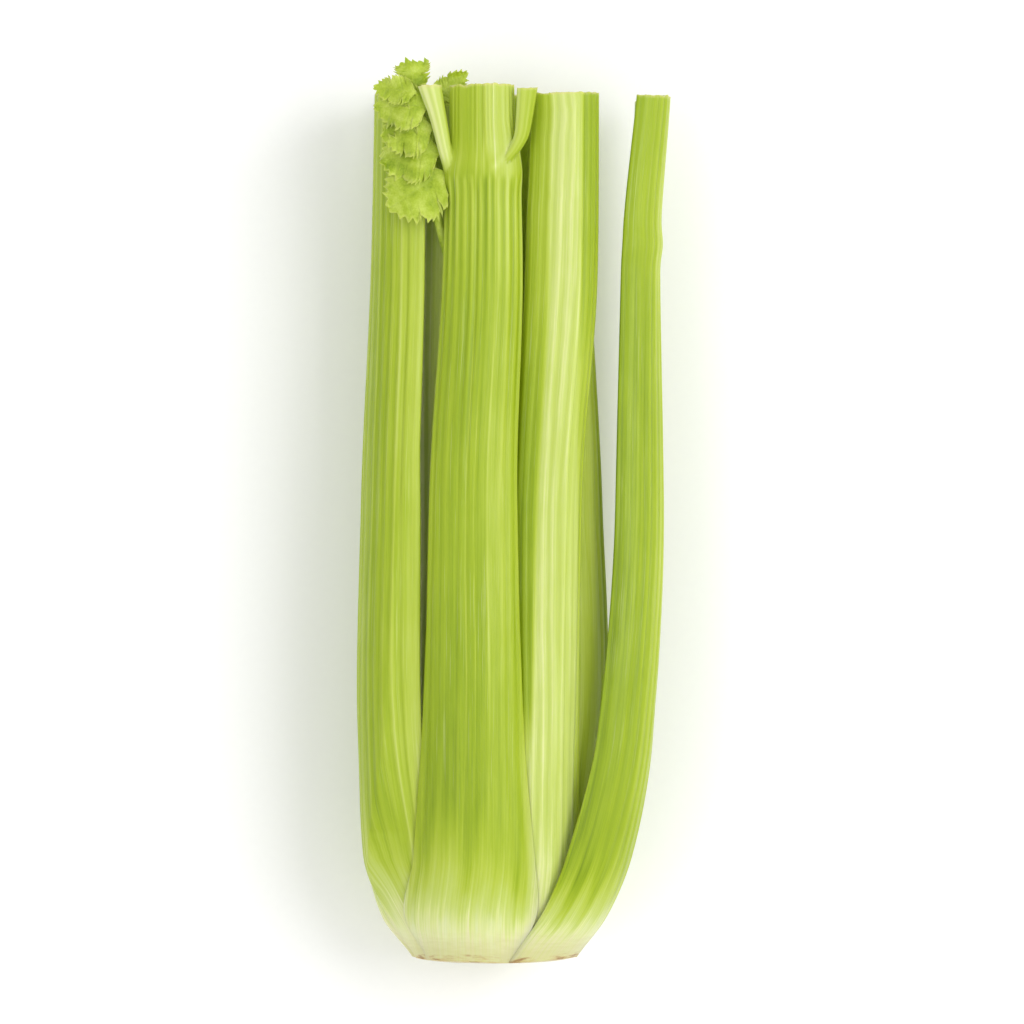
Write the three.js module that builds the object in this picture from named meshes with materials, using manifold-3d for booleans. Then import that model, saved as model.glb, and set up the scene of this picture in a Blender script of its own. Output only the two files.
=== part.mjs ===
// Head of celery, trimmed at both ends and laid on its back.
// Millimetres. X runs across the head, Y along it from the root end to the cut tops,
// Z up from the surface that it lies on. Inside this file a place on the head is given
// as (x, z) at a height h above the cut root end; h becomes Y.
//
// Each stalk is one closed crescent drawn through slices across the head. The stalks are
// drawn from the outermost to the innermost, and each one is pressed in under the stalks
// that lie over it, so they nest round one another without meeting.
import * as THREE from "three";
import Module from "manifold-3d";

// ---------------------------------------------------------------- driving dimensions
const CENTRE_X = 1.0;             // middle of the whole part across, leaf included
const CENTRE_Y = 146.6;           // middle of the whole part along, leaf included
const CLEARANCE = 0.45;           // air between neighbouring stalks
const KEY_HEIGHTS = [0, 14, 35, 75, 150, 225, 285];
const THICKNESS_SHARE = [0.55, 0.75, 0.92, 1.0, 1.0, 0.97, 0.92];
const MARGIN_HEIGHTS = [0, 35, 85];
const MARGIN_SHARES = [0.2, 0.22, 0.4];   // thickness at a margin beside that of the middle
const ROOT_LIFT = 1.8;            // how far the rim of the root end curls up from the cut
const BLADE_THICKNESS = 0.9;      // leaf blades, measured straight up
const RIB_DEPTH = 0.42;           // grooves between the ribs of an outer stalk
const CORNER_REACH = 2.5;         // how closely an inner stalk follows a margin over it
const STIFFNESS = 14;             // how gently a stalk bends away from the one over it

// Rows of a table run over KEY_HEIGHTS: x and z of the middle of the outer face, the way
// that it faces in degrees from +X towards +Z, and half of its width along the curve.
const STALKS = [
  { name: "stalk_right", role: "outer", ribs: 8, thick: 8.4, bottom: 0, top: 281, tint: 0xa6bd48,
    node: 233,
    x: [13.4, 23.4, 32.9, 41.4, 46.2, 46.4, 50.8], z: [53, 59, 62, 62.5, 59, 57, 55],
    face: [60, 55, 50, 46, 40, 34, 30], half: [14.5, 15.2, 16, 14.6, 14, 12.6, 11.6] },
  { name: "stalk_front_middle", role: "outer", ribs: 11, thick: 8.8, bottom: 0, top: 284, tint: 0xa4ba3f,
    node: 256, waist: 0.88, extra: [248, 253, 256, 259, 264, 268, 273],
    x: [-14.5, -14.8, -12.7, -12.3, -12.1, -9, -9.2], z: [58, 66, 72.3, 74.8, 74.3, 73.6, 72.6],
    face: [106, 102, 97, 93, 92, 92, 91], half: [16.5, 24.3, 22.4, 19, 16.9, 15.7, 14.4] },
  { name: "stalk_left", role: "outer", ribs: 10, thick: 8.6, bottom: 0, top: 282, tint: 0xa3b94a,
    x: [-27, -34.6, -42.8, -44.9, -43.9, -41.3, -40.4], z: [50, 57, 59.5, 60.3, 59.4, 58.6, 58],
    face: [138, 137, 139, 141, 141, 141, 141], half: [12, 15.5, 17.2, 16.7, 16.2, 15.6, 15] },
  { name: "stalk_back_left", role: "outer", ribs: 9, thick: 8.6, bottom: 0, top: 283, tint: 0x9db544,
    x: [-32, -41.6, -47.4, -47.4, -46.2, -44.4, -43], z: [32, 31, 28, 25, 24.5, 24.5, 25],
    face: [182, 184, 188, 190, 190, 190, 190], half: [12, 15.5, 15, 13.2, 12.8, 12.4, 12] },
  { name: "stalk_under_right", role: "outer", ribs: 9, thick: 8.6, bottom: 0, top: 280, tint: 0x9fb748,
    x: [12, 17, 20, 18.5, 17, 16.5, 16], z: [20, 13, 6.5, 1.6, 1.2, 1.4, 1.8],
    face: [312, 308, 303, 297, 292, 291, 290], half: [12, 16, 15.5, 13.2, 12, 11.8, 11.5] },
  { name: "stalk_under_left", role: "outer", ribs: 9, thick: 8.6, bottom: 0, top: 284, tint: 0x9bb342,
    x: [-21, -27, -31, -32, -31.5, -30.5, -29.5], z: [19, 11, 4, 0.8, 0.7, 1, 1.4],
    face: [236, 239, 244, 248, 250, 251, 251], half: [13, 16.5, 16, 14.5, 14, 13.8, 13.2] },
  { name: "stalk_back_right", role: "outer", ribs: 8, thick: 7.6, bottom: 0, top: 280, tint: 0xa1b849,
    x: [22.6, 30.4, 37.4, 43.5, 46.5, 46.8, 48], z: [36, 35.5, 34, 31, 28, 27, 27],
    face: [358, 356, 352, 346, 342, 340, 340], half: [11, 13.5, 13, 12, 11, 10, 9.5] },
  { name: "stalk_under_middle", role: "outer", ribs: 8, thick: 8.6, bottom: 0, top: 281, tint: 0x9cb445,
    x: [-5, -5, -5, -5.8, -6.3, -6.3, -6], z: [15, 7, 0.5, -1, -1, -0.9, -0.6],
    face: [270, 270, 270, 270, 270, 270, 270], half: [10, 12.5, 13, 12.4, 11.6, 11.4, 11] },
  { name: "stalk_front_pale", role: "outer", ribs: 10, thick: 8.6, bottom: 0, top: 281.5, tint: 0xd0dd73,
    x: [6, 9, 12, 12.8, 14, 18.6, 19.6], z: [53.5, 60, 66, 69.3, 70.8, 71, 71],
    face: [72, 70, 70, 74, 76, 78, 80], half: [12, 14, 14.5, 13.3, 13.2, 13.8, 13] },
  { name: "inner_stalk_right", role: "inner", ribs: 6, thick: 7, bottom: 10, top: 276, tint: 0xbccf6a,
    x: [8, 15, 23, 28.2, 27.2, 23.5, 21], z: [46, 50.5, 54, 55, 54.5, 54, 54],
    face: [48, 46, 44, 42, 42, 42, 42], half: [8, 9, 10.5, 10.5, 9.5, 9, 8.5] },
  { name: "inner_stalk_left", role: "inner", ribs: 6, thick: 7, bottom: 10, top: 279, tint: 0xb9cc68,
    x: [-15, -18, -22, -24, -24, -23.5, -22.5], z: [47, 50, 54, 56, 56.5, 56.5, 56.5],
    face: [122, 120, 120, 118, 118, 118, 118], half: [9, 10, 11, 11, 10.5, 10, 10] },
  { name: "inner_stalk_front", role: "inner", ribs: 6, thick: 6.6, bottom: 11, top: 281, tint: 0xc4d676,
    x: [-3, -3, -2, 0, 1, 1, 1], z: [47, 52, 57, 59.5, 60, 59.5, 59],
    face: [84, 84, 84, 84, 84, 84, 84], half: [7, 8, 9.5, 9.5, 9, 9, 9] },
  { name: "inner_stalk_back_right", role: "inner", ribs: 6, thick: 7, bottom: 10, top: 283, tint: 0xbfd16f,
    x: [11, 16, 20, 23, 22.5, 21.5, 20], z: [30, 28, 27, 28, 28, 28, 28],
    face: [345, 345, 345, 347, 347, 347, 347], half: [9, 10, 11, 11, 10.5, 10, 9.5] },
  { name: "inner_stalk_under", role: "inner", ribs: 6, thick: 7, bottom: 10, top: 282, tint: 0xbccf6c,
    x: [-9, -11, -12, -12, -12, -12, -12], z: [24, 20, 15, 12.5, 12.5, 13, 14],
    face: [262, 260, 260, 260, 260, 260, 260], half: [9, 11, 12, 12, 11.5, 11, 10.5] },
  { name: "inner_stalk_back_left", role: "inner", ribs: 6, thick: 7, bottom: 10, top: 284, tint: 0xbacd69,
    x: [-20, -26, -32, -35, -35, -34, -32.5], z: [36, 36, 35, 33, 32, 32, 32],
    face: [182, 183, 186, 190, 192, 193, 194], half: [9, 10, 11, 11, 10.5, 10, 9.5] },
  { name: "heart_stalk_left", role: "heart", ribs: 4, thick: 6, bottom: 13.5, top: 272, tint: 0xd6e28e,
    x: [-14, -16, -18, -20, -20, -20, -19], z: [40, 41, 42, 43, 43, 43, 43],
    face: [150, 150, 148, 145, 145, 145, 145], half: [6, 7, 8, 8, 8, 8, 7.5] },
  { name: "heart_stalk_right", role: "heart", ribs: 4, thick: 6, bottom: 13.5, top: 277, tint: 0xd8e491,
    x: [2, 4, 6, 9, 9, 8, 7], z: [36, 37, 40, 42, 42, 42, 42],
    face: [10, 12, 15, 18, 20, 20, 20], half: [6, 7, 8, 8, 8, 8, 7.5] },
  { name: "heart_stalk_under", role: "heart", ribs: 4, thick: 6, bottom: 13.5, top: 268, tint: 0xdae694,
    x: [-6, -5, -4, -3, -3, -3, -3], z: [30, 29, 27, 26, 26, 26, 26],
    face: [275, 275, 275, 275, 275, 275, 275], half: [6, 7, 8, 8, 8, 8, 7.5] },
];

const SLICES = {
  outer: [0, 2.5, 6, 11, 18, 27, 38, 54, 76, 110, 150, 190, 230, 262],
  inner: [18, 27, 38, 54, 76, 130, 200],
  heart: [18, 27, 38, 54, 76, 110, 190],
};
const INSIDE_POINTS = { outer: 9, inner: 7, heart: 5 };

// ---------------------------------------------------------------- curves
// A smooth curve through the given values that never overshoots them.
function curve(places, values, at) {
  const last = places.length - 1;
  const p = Math.min(Math.max(at, places[0]), places[last]);
  let i = 0;
  while (i < last - 1 && p >= places[i + 1]) i += 1;
  const gap = (k) => places[k + 1] - places[k];
  const slope = (k) => (values[k + 1] - values[k]) / gap(k);
  const bend = (k) => {
    if (k === 0) return slope(0);
    if (k === last) return slope(last - 1);
    const a = slope(k - 1);
    const b = slope(k);
    if (a * b <= 0) return (a * gap(k) + b * gap(k - 1)) / (gap(k) + gap(k - 1));
    const one = 2 * gap(k) + gap(k - 1);
    const two = gap(k) + 2 * gap(k - 1);
    return (one + two) / (one / a + two / b);
  };
  const w = gap(i);
  const t = (p - places[i]) / w;
  const u = 1 - t;
  return (1 + 2 * t) * u * u * values[i] + t * u * u * w * bend(i)
    + t * t * (3 - 2 * t) * values[i + 1] + t * t * (t - 1) * w * bend(i + 1);
}
const axisX = (h) => curve([0, 40, 110, 285], [-5.3, -5, -8.5, -9], h);
const axisZ = (h) => curve([0, 50, 285], [36.5, 37.4, 37.0], h);
const smooth = (a, b, v) => {
  const t = Math.min(Math.max((v - a) / (b - a), 0), 1);
  return t * t * (3 - 2 * t);
};

// ---------------------------------------------------------------- room for the stalks
// The room is the greatest distance from the head's axis that is still free, in steps
// of a degree all the way round.
const STEPS = 360;
const STEP = 2 * Math.PI / STEPS;

function floorRoom(h) {
  const z = axisZ(h);
  return Array.from({ length: STEPS }, (_, k) => {
    const s = Math.sin(k * STEP);
    return s < -0.05 ? z / -s : 1000;
  });
}

function tighten(taken, ring, h) {
  const ax = axisX(h);
  const az = axisZ(h);
  const at = ring.map(([x, z]) => Math.atan2(z - az, x - ax));
  for (let i = 0; i < ring.length; i += 1) {
    const j = (i + 1) % ring.length;
    let turn = at[j] - at[i];
    if (turn > Math.PI) turn -= 2 * Math.PI;
    if (turn < -Math.PI) turn += 2 * Math.PI;
    if (Math.abs(turn) < 1e-9) continue;
    const low = Math.min(at[i], at[i] + turn);
    const high = Math.max(at[i], at[i] + turn);
    for (let k = Math.ceil(low / STEP); k <= Math.floor(high / STEP); k += 1) {
      const f = (k * STEP - at[i]) / turn;
      const x = ring[i][0] + (ring[j][0] - ring[i][0]) * f - ax;
      const z = ring[i][1] + (ring[j][1] - ring[i][1]) * f - az;
      const m = ((k % STEPS) + STEPS) % STEPS;
      taken[m] = Math.min(taken[m], Math.hypot(x, z) - CLEARANCE);
    }
  }
}

// Rounds the corners of the room, so that a stalk follows a margin over it smoothly.
function soften(taken, h) {
  const room = floorRoom(h);
  for (let k = 0; k < STEPS; k += 1) {
    room[k] = Math.min(room[k], taken[k]);
    for (let off = 1; off < 40; off += 1) {
      for (const other of [taken[(k + off) % STEPS], taken[(k - off + STEPS) % STEPS]]) {
        if (other === Infinity) continue;
        const away = other * off * STEP;
        room[k] = Math.min(room[k], other + away * away / (2 * CORNER_REACH));
      }
    }
  }
  return room;
}

// ---------------------------------------------------------------- one stalk, one slice
// Places across the outer face run from -1 to 1: a crest and a groove for every rib,
// and two close together at each margin to round it.
function acrossOutside(ribs) {
  const places = [-1, -0.975];
  for (let k = 0; k <= 2 * (ribs - 1); k += 1) places.push(-0.93 + 1.86 * k / (2 * (ribs - 1)));
  places.push(0.975, 1);
  return places;
}
function acrossInside(count) {
  return Array.from({ length: count }, (_, k) => 0.965 * Math.sin((0.5 - k / (count - 1)) * Math.PI * 0.9)
    / Math.sin(Math.PI * 0.45));
}

function slice(stalk, h, room) {
  const face = curve(KEY_HEIGHTS, stalk.face, h) * Math.PI / 180;
  // Above its node a stalk is narrower, on its left side sooner than on its right.
  const narrow = (from) => (stalk.waist ? 1 - (1 - stalk.waist) * smooth(from, from + 12, h) : 1);
  const [left, right] = [narrow(stalk.node - 4), narrow(stalk.node + 6)];
  const half = curve(KEY_HEIGHTS, stalk.half, h);
  const swelling = stalk.node ? 0.8 * Math.exp(-(((h - stalk.node) / 5) ** 2)) : 0;
  const thick = stalk.thick * curve(KEY_HEIGHTS, THICKNESS_SHARE, h);
  const margin = curve(MARGIN_HEIGHTS, MARGIN_SHARES, h);
  const swing = curve([0, 140, 285], [46, 44, 52], h) * Math.PI / 180;
  const radius = half / swing;
  const cx = curve(KEY_HEIGHTS, stalk.x, h) - radius * Math.cos(face);
  const cz = curve(KEY_HEIGHTS, stalk.z, h) - radius * Math.sin(face);
  const ax = axisX(h);
  const az = axisZ(h);
  const place = (s, inside) => {
    const full = thick * (margin + (1 - margin) * (1 - Math.abs(s) ** 2.2));
    const here = full * Math.sqrt(Math.max(1 - Math.abs(s) ** 9, 0));
    const depth = (full - here) / 2 + (inside ? here : -swelling);
    const a = face + s * swing * (s < 0 ? right : left);
    return [cx + (radius - depth) * Math.cos(a), cz + (radius - depth) * Math.sin(a)];
  };
  const outside = acrossOutside(stalk.ribs);
  const need = outside.map((s) => {
    const [x, z] = place(s, false);
    const away = Math.hypot(x - ax, z - az);
    const k = ((Math.atan2(z - az, x - ax) / STEP) + STEPS) % STEPS;
    const low = Math.floor(k);
    const f = k - low;
    const limit = room[low % STEPS] * (1 - f) + room[(low + 1) % STEPS] * f;
    return Math.max(away - limit, 0);
  });
  const press = (s) => {
    const asked = need.map((n, i) => n - ((s - outside[i]) * half) ** 2 / (2 * STIFFNESS));
    return Math.max(0, ...asked);
  };
  const move = (s, inside, groove) => {
    const [x, z] = place(s, inside);
    const [ox, oz] = place(s, false);
    const away = Math.hypot(ox - ax, oz - az);
    const pressed = press(s);
    const onFloor = oz - (oz - az) * pressed / away < 0.02;
    const by = (pressed + (onFloor ? 0 : groove)) / away;
    return [x - (ox - ax) * by, Math.max(z - (oz - az) * by, 0)];
  };
  const ribbed = smooth(6, 40, h) * RIB_DEPTH;
  const outer = outside.map((s, i) => {
    const valley = i > 1 && i < outside.length - 2 && (i % 2) === 1;
    return move(s, false, valley ? ribbed : 0);
  });
  const inner = acrossInside(INSIDE_POINTS[stalk.role]).map((s) => move(s, true, 0));
  return [...outer, ...inner];
}

// ---------------------------------------------------------------- bodies
// The cut root end is not quite flat: its rim curls up a little.
function alongHead(x, z, h) {
  const away = Math.hypot(x - axisX(0), z - axisZ(0)) / 27;
  return h + ROOT_LIFT * Math.min(away, 1) ** 4 * (1 - smooth(0, 20, h));
}

function bodyOf(rings, heights) {
  const count = rings[0].length;
  const points = [];
  rings.forEach((ring, i) => ring.forEach(([x, z]) => {
    points.push(x - CENTRE_X, alongHead(x, z, heights[i]) - CENTRE_Y, z);
  }));
  const faces = [];
  for (let i = 0; i < rings.length - 1; i += 1) {
    for (let k = 0; k < count; k += 1) {
      const a = i * count + k;
      const b = i * count + (k + 1) % count;
      faces.push(a, a + count, b, b, a + count, b + count);
    }
  }
  for (const end of [0, rings.length - 1]) {
    const flat = rings[end].map(([x, z]) => new THREE.Vector2(x, z));
    for (const [a, b, c] of THREE.ShapeUtils.triangulateShape(flat, [])) {
      const [p, q, r] = [a, b, c].map((n) => rings[end][n]);
      const left = (q[0] - p[0]) * (r[1] - p[1]) - (q[1] - p[1]) * (r[0] - p[0]) > 0;
      const turned = end === 0 ? left : !left;
      faces.push(...(turned ? [a, b, c] : [a, c, b]).map((n) => n + end * count));
    }
  }
  return { points, faces };
}

function meshOf(body, name, tint, roughness) {
  const geometry = new THREE.BufferGeometry();
  geometry.setAttribute("position", new THREE.Float32BufferAttribute(body.points, 3));
  geometry.setIndex(body.faces);
  geometry.computeVertexNormals();
  const material = new THREE.MeshStandardMaterial({ color: tint, roughness, metalness: 0 });
  const mesh = new THREE.Mesh(geometry, material);
  mesh.name = name;
  return mesh;
}

// ---------------------------------------------------------------- branches of the front stalk
// Cut leaf stalks that leave the front middle stalk at its node: x, z and half-sizes
// across and through, at each height, and how far each section is turned.
const BRANCHES = [
  { turn: 12, rows: [[246, -17.0, 66.2, 1.4, 1.5], [254, -18.8, 67.2, 2.0, 1.9], [263, -20.9, 69.4, 2.3, 2.1],
    [273, -23.1, 69.8, 2.8, 2.3], [283.5, -25.9, 69.6, 3.9, 2.6]] },
  { turn: -10, rows: [[246, -6.0, 67.0, 1.4, 1.5], [254, -4.4, 69.0, 2.0, 1.9], [259, -1.8, 70.2, 2.2, 2.0],
    [263, 1.4, 70.7, 2.3, 2.1], [268, 3.8, 70.7, 2.5, 2.2], [275, 4.8, 70.6, 2.9, 2.4],
    [283, 5.6, 70.4, 3.4, 2.5]] },
];
const BRANCH_POINTS = 12;
const BRANCH_OWNER = "stalk_front_middle";

function branchRing(branch, h) {
  const at = branch.rows.map((row) => row[0]);
  const [x, z, across, through] = [1, 2, 3, 4].map((n) => curve(at, branch.rows.map((row) => row[n]), h));
  const turn = branch.turn * Math.PI / 180;
  return Array.from({ length: BRANCH_POINTS }, (_, k) => {
    const a = 2 * Math.PI * k / BRANCH_POINTS;
    const u = across * Math.cos(a);
    const v = through * Math.sin(a);
    return [x + u * Math.cos(turn) - v * Math.sin(turn), z + u * Math.sin(turn) + v * Math.cos(turn)];
  });
}

// ---------------------------------------------------------------- root core
// Widest reach of the core from the axis, going up from the cut face.
const CORE = [[0, 40], [3, 40], [6, 40], [8.5, 24], [9.3, 13], [9.5, 9], [12.2, 6.5], [12.9, 2.5]];
const CORE_POINTS = 30;

// ---------------------------------------------------------------- leaf sprig
// The thin stem: x, h, z and radius.
const STEM = [[-10.5, 15, 55.0, 1.2], [-10.5, 30, 58.8, 1.5], [-10.5, 60, 62.0, 1.6], [-11, 100, 62.9, 1.6],
  [-12.5, 150, 62.6, 1.6], [-16, 200, 62.0, 1.5], [-20, 228, 62.2, 1.5], [-23.6, 243, 63.4, 1.4],
  [-25.2, 256, 64.4, 1.3], [-25.8, 268, 64.8, 1.2], [-27.2, 280, 65.0, 1.0]];
// Leaflets: root x and h, heading in degrees from +X towards +Y, length, width, height
// above the sheet that they lie in, and how far along the stem each one leaves it.
const LEAFLETS = [
  { root: [-30.4, 280.8], heading: 97, size: [13.4, 12.8], rise: -1.8, from: 280 },
  { root: [-31.0, 281.6], heading: 172, size: [12.0, 8.0], rise: 0.8, from: 278.5 },
  { root: [-27.4, 277.3], heading: 181, size: [15.0, 13.5], rise: 0.3, from: 274 },
  { root: [-26.0, 270.0], heading: 190, size: [14.4, 14.0], rise: 0.1, from: 267 },
  { root: [-23.8, 262.4], heading: 188, size: [17.0, 15.5], rise: 0.0, from: 259 },
  { root: [-22.6, 255.2], heading: 214, size: [19.6, 19.5], rise: -0.3, from: 251 },
  { root: [-25.6, 278.0], heading: 42, size: [14.5, 7.5], rise: -5.6, from: 277 },
];
// One half of a leaflet's toothed edge, along and across, with the midrib place beside it.
const TEETH = [[0, 0.035, 0], [0.14, 0.12, 0.1], [0.2, 0.3, 0.19], [0.31, 0.28, 0.28], [0.35, 0.46, 0.37],
  [0.46, 0.37, 0.46], [0.54, 0.5, 0.55], [0.63, 0.33, 0.64], [0.74, 0.41, 0.73], [0.78, 0.24, 0.81],
  [0.9, 0.23, 0.88], [0.93, 0.09, 0.94]];
const ROLL = 0.22;                // each leaflet lies over the one nearer the root
const FOLD = 0.07;                // rise of its halves beside the midrib

function sheet(x) {
  return 67.2 + 0.9 * smooth(-24, -32, x) - 5.4 * smooth(-31, -45, x);
}

function bladeOf(leaflet) {
  const [length, width] = leaflet.size;
  const a = leaflet.heading * Math.PI / 180;
  const put = (u, v) => {
    const x = leaflet.root[0] + length * u * Math.cos(a) - width * v * Math.sin(a);
    const y = leaflet.root[1] + length * u * Math.sin(a) + width * v * Math.cos(a);
    const wave = 0.5 * Math.sin(9 * u + 4 * v) * Math.abs(v);
    const z = sheet(x) + leaflet.rise + ROLL * (leaflet.root[1] - y) + FOLD * width * Math.abs(v)
      + wave - 0.8 * u * u;
    return [x, y, z];
  };
  const flat = [];
  for (const [u, v, rib] of TEETH) {
    for (const f of [-1, -0.5, 0, 0.5, 1]) {
      const b = Math.abs(f);
      flat.push(put(rib + (u - rib) * b, v * f * (f < 0 ? 0.94 : 1)));
    }
  }
  flat.push(put(1, 0));
  const tip = flat.length - 1;
  const top = [];
  for (let i = 0; i < TEETH.length - 1; i += 1) {
    for (let k = 0; k < 4; k += 1) {
      const p = 5 * i + k;
      top.push([p, p + 5, p + 1], [p + 1, p + 5, p + 6]);
    }
  }
  for (let k = 0; k < 4; k += 1) top.push([tip - 5 + k, tip, tip - 4 + k]);
  const edge = [];
  for (let i = 0; i < TEETH.length; i += 1) edge.push(5 * i);
  edge.push(tip);
  for (let i = TEETH.length - 1; i >= 0; i -= 1) edge.push(5 * i + 4);
  for (let k = 3; k >= 1; k -= 1) edge.push(k);
  const count = flat.length;
  const points = [];
  for (const side of [0.5, -0.5]) {
    for (const [x, y, z] of flat) points.push(x - CENTRE_X, y - CENTRE_Y, z + side * BLADE_THICKNESS);
  }
  const faces = [];
  for (const [p, q, r] of top) faces.push(p, q, r, p + count, r + count, q + count);
  edge.forEach((p, i) => {
    const q = edge[(i + 1) % edge.length];
    faces.push(p, p + count, q, q, p + count, q + count);
  });
  return { points, faces, base: put(0.05, 0) };
}

// A round rod through the given places, each with its radius.
function rodOf(places, sides) {
  const middle = places.map(([x, y, z]) => new THREE.Vector3(x - CENTRE_X, y - CENTRE_Y, z));
  const points = [];
  middle.forEach((m, i) => {
    const before = middle[Math.max(i - 1, 0)];
    const after = middle[Math.min(i + 1, middle.length - 1)];
    const along = after.clone().sub(before).normalize();
    const side = new THREE.Vector3(0, 0, 1).cross(along).normalize();
    const up = along.clone().cross(side);
    for (let k = 0; k < sides; k += 1) {
      const a = 2 * Math.PI * k / sides;
      const p = m.clone().addScaledVector(side, places[i][3] * Math.cos(a));
      p.addScaledVector(up, places[i][3] * Math.sin(a));
      points.push(p.x, p.y, p.z);
    }
  });
  const faces = [];
  for (let i = 0; i < middle.length - 1; i += 1) {
    for (let k = 0; k < sides; k += 1) {
      const a = i * sides + k;
      const b = i * sides + (k + 1) % sides;
      faces.push(a, b, a + sides, b, b + sides, a + sides);
    }
  }
  const last = (middle.length - 1) * sides;
  for (let k = 1; k < sides - 1; k += 1) {
    faces.push(0, k + 1, k);
    faces.push(last, last + k, last + k + 1);
  }
  return { points, faces };
}

// ---------------------------------------------------------------- joining grown pieces
const wasm = await Module();
wasm.setup();

function solidOf(body) {
  return new wasm.Manifold(new wasm.Mesh({
    numProp: 3,
    vertProperties: new Float32Array(body.points),
    triVerts: new Uint32Array(body.faces),
  }));
}
function joined(bodies) {
  const solid = bodies.map(solidOf).reduce((all, one) => all.add(one));
  const mesh = solid.getMesh();
  return { points: Array.from(mesh.vertProperties), faces: Array.from(mesh.triVerts) };
}

// ---------------------------------------------------------------- the head
const head = new THREE.Group();
head.name = "head_of_celery";

function heightsOf(stalk) {
  const kept = SLICES[stalk.role].filter((h) => h > stalk.bottom && h < stalk.top);
  return [stalk.bottom, ...kept, ...(stalk.extra ?? []), stalk.top].sort((a, b) => a - b);
}
const branchHeights = [...new Set(BRANCHES.flatMap((b) => b.rows.map((row) => row[0])))];
const every = [...new Set([...STALKS.flatMap(heightsOf), ...branchHeights, ...CORE.map(([h]) => h)])];
every.sort((a, b) => a - b);

const drawn = new Map(STALKS.map((s) => [s.name, { rings: [], heights: [] }]));
const core = { rings: [], heights: [] };
for (const h of every) {
  const taken = new Array(STEPS).fill(Infinity);
  for (const stalk of STALKS) {
    if (h < stalk.bottom || h > stalk.top) continue;
    const room = soften(taken, h);
    const ring = slice(stalk, h, room);
    tighten(taken, ring, h);
    // What lies behind a stalk keeps clear of its full width, above its node too.
    if (stalk.waist) tighten(taken, slice({ ...stalk, waist: 1 }, h, room), h);
    if (stalk.name === BRANCH_OWNER) {
      for (const branch of BRANCHES) {
        const rows = branch.rows;
        if (h >= rows[0][0] && h <= rows[rows.length - 1][0] + 2) tighten(taken, branchRing(branch, h), h);
      }
    }
    if (heightsOf(stalk).includes(h)) {
      drawn.get(stalk.name).rings.push(ring);
      drawn.get(stalk.name).heights.push(h);
    }
  }
  const reach = CORE.find(([at]) => at === h);
  if (reach) {
    const room = soften(taken, h);
    core.rings.push(Array.from({ length: CORE_POINTS }, (_, k) => {
      const a = k * STEPS / CORE_POINTS;
      const r = Math.min(room[a] - 0.3, reach[1]);
      return [axisX(h) + r * Math.cos(a * STEP), axisZ(h) + r * Math.sin(a * STEP)];
    }));
    core.heights.push(h);
  }
}

for (const stalk of STALKS) {
  const { rings, heights } = drawn.get(stalk.name);
  let body = bodyOf(rings, heights);
  if (stalk.name === BRANCH_OWNER) {
    const branches = BRANCHES.map((branch) => {
      const at = branch.rows.map((row) => row[0]);
      return bodyOf(at.map((h) => branchRing(branch, h)), at);
    });
    body = joined([body, ...branches]);
  }
  head.add(meshOf(body, stalk.name, stalk.tint, 0.45));
}
head.add(meshOf(bodyOf(core.rings, core.heights), "root_core", 0xd9cfae, 0.7));

const blades = LEAFLETS.map(bladeOf);
const stemAt = STEM.map((row) => row[1]);
const leafStalks = LEAFLETS.map((leaflet, i) => {
  const [x, z, r] = [0, 2, 3].map((n) => curve(stemAt, STEM.map((row) => row[n]), leaflet.from));
  const [bx, by, bz] = blades[i].base;
  return rodOf([[x, leaflet.from, z, Math.min(0.75, r)], [bx, by, bz, 0.6]], 6);
});
head.add(meshOf(joined([rodOf(STEM, 8), ...leafStalks, ...blades]), "leaf_sprig", 0xacc244, 0.5));

export default head;
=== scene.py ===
"""Looks for the head of celery. Every stalk, the root core and the leaf sprig are drawn
again, finer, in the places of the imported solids, and given their colours and surfaces.

A place on the head is (x, z) at a height h above the cut root end, in millimetres, as in
the part's source. Each stalk is a crescent drawn through slices across the head, from the
outermost stalk to the innermost, and each is pressed in under those that lie over it."""

import math

import bpy
import numpy as np
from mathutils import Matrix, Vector
from mathutils.kdtree import KDTree


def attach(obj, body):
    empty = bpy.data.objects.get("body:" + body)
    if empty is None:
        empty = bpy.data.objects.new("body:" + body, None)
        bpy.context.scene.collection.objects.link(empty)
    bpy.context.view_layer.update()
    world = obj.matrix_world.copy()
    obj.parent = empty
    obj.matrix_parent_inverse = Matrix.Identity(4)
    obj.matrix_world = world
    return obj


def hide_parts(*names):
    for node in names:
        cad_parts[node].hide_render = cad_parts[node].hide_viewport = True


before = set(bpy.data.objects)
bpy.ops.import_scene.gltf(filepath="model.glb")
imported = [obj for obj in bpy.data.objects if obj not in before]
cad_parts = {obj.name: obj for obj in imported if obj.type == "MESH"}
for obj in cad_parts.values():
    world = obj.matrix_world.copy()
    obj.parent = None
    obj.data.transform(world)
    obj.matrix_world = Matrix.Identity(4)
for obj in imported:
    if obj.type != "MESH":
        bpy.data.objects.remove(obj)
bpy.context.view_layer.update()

# ------------------------------------------------------------------ dimensions, as packed
MM = 0.001
CENTRE_X, CENTRE_Y = 1.0, 146.6
# The middle of the head, which the stalks stand round: heights and x, heights and z.
AXIS_X = ((0, 40, 110, 285), (-5.3, -5, -8.5, -9))
AXIS_Z = ((0, 50, 285), (36.5, 37.4, 37.0))
CLEARANCE_HEIGHTS, CLEARANCES = (0, 55, 110), (0.06, 0.1, 0.45)
KEY_HEIGHTS = (0, 14, 35, 75, 150, 225, 285)
THICKNESS_SHARE = (0.55, 0.75, 0.92, 1.0, 1.0, 0.97, 0.92)
MARGIN_HEIGHTS, MARGIN_SHARES = (0, 60, 110), (0.04, 0.07, 0.4)
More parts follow.
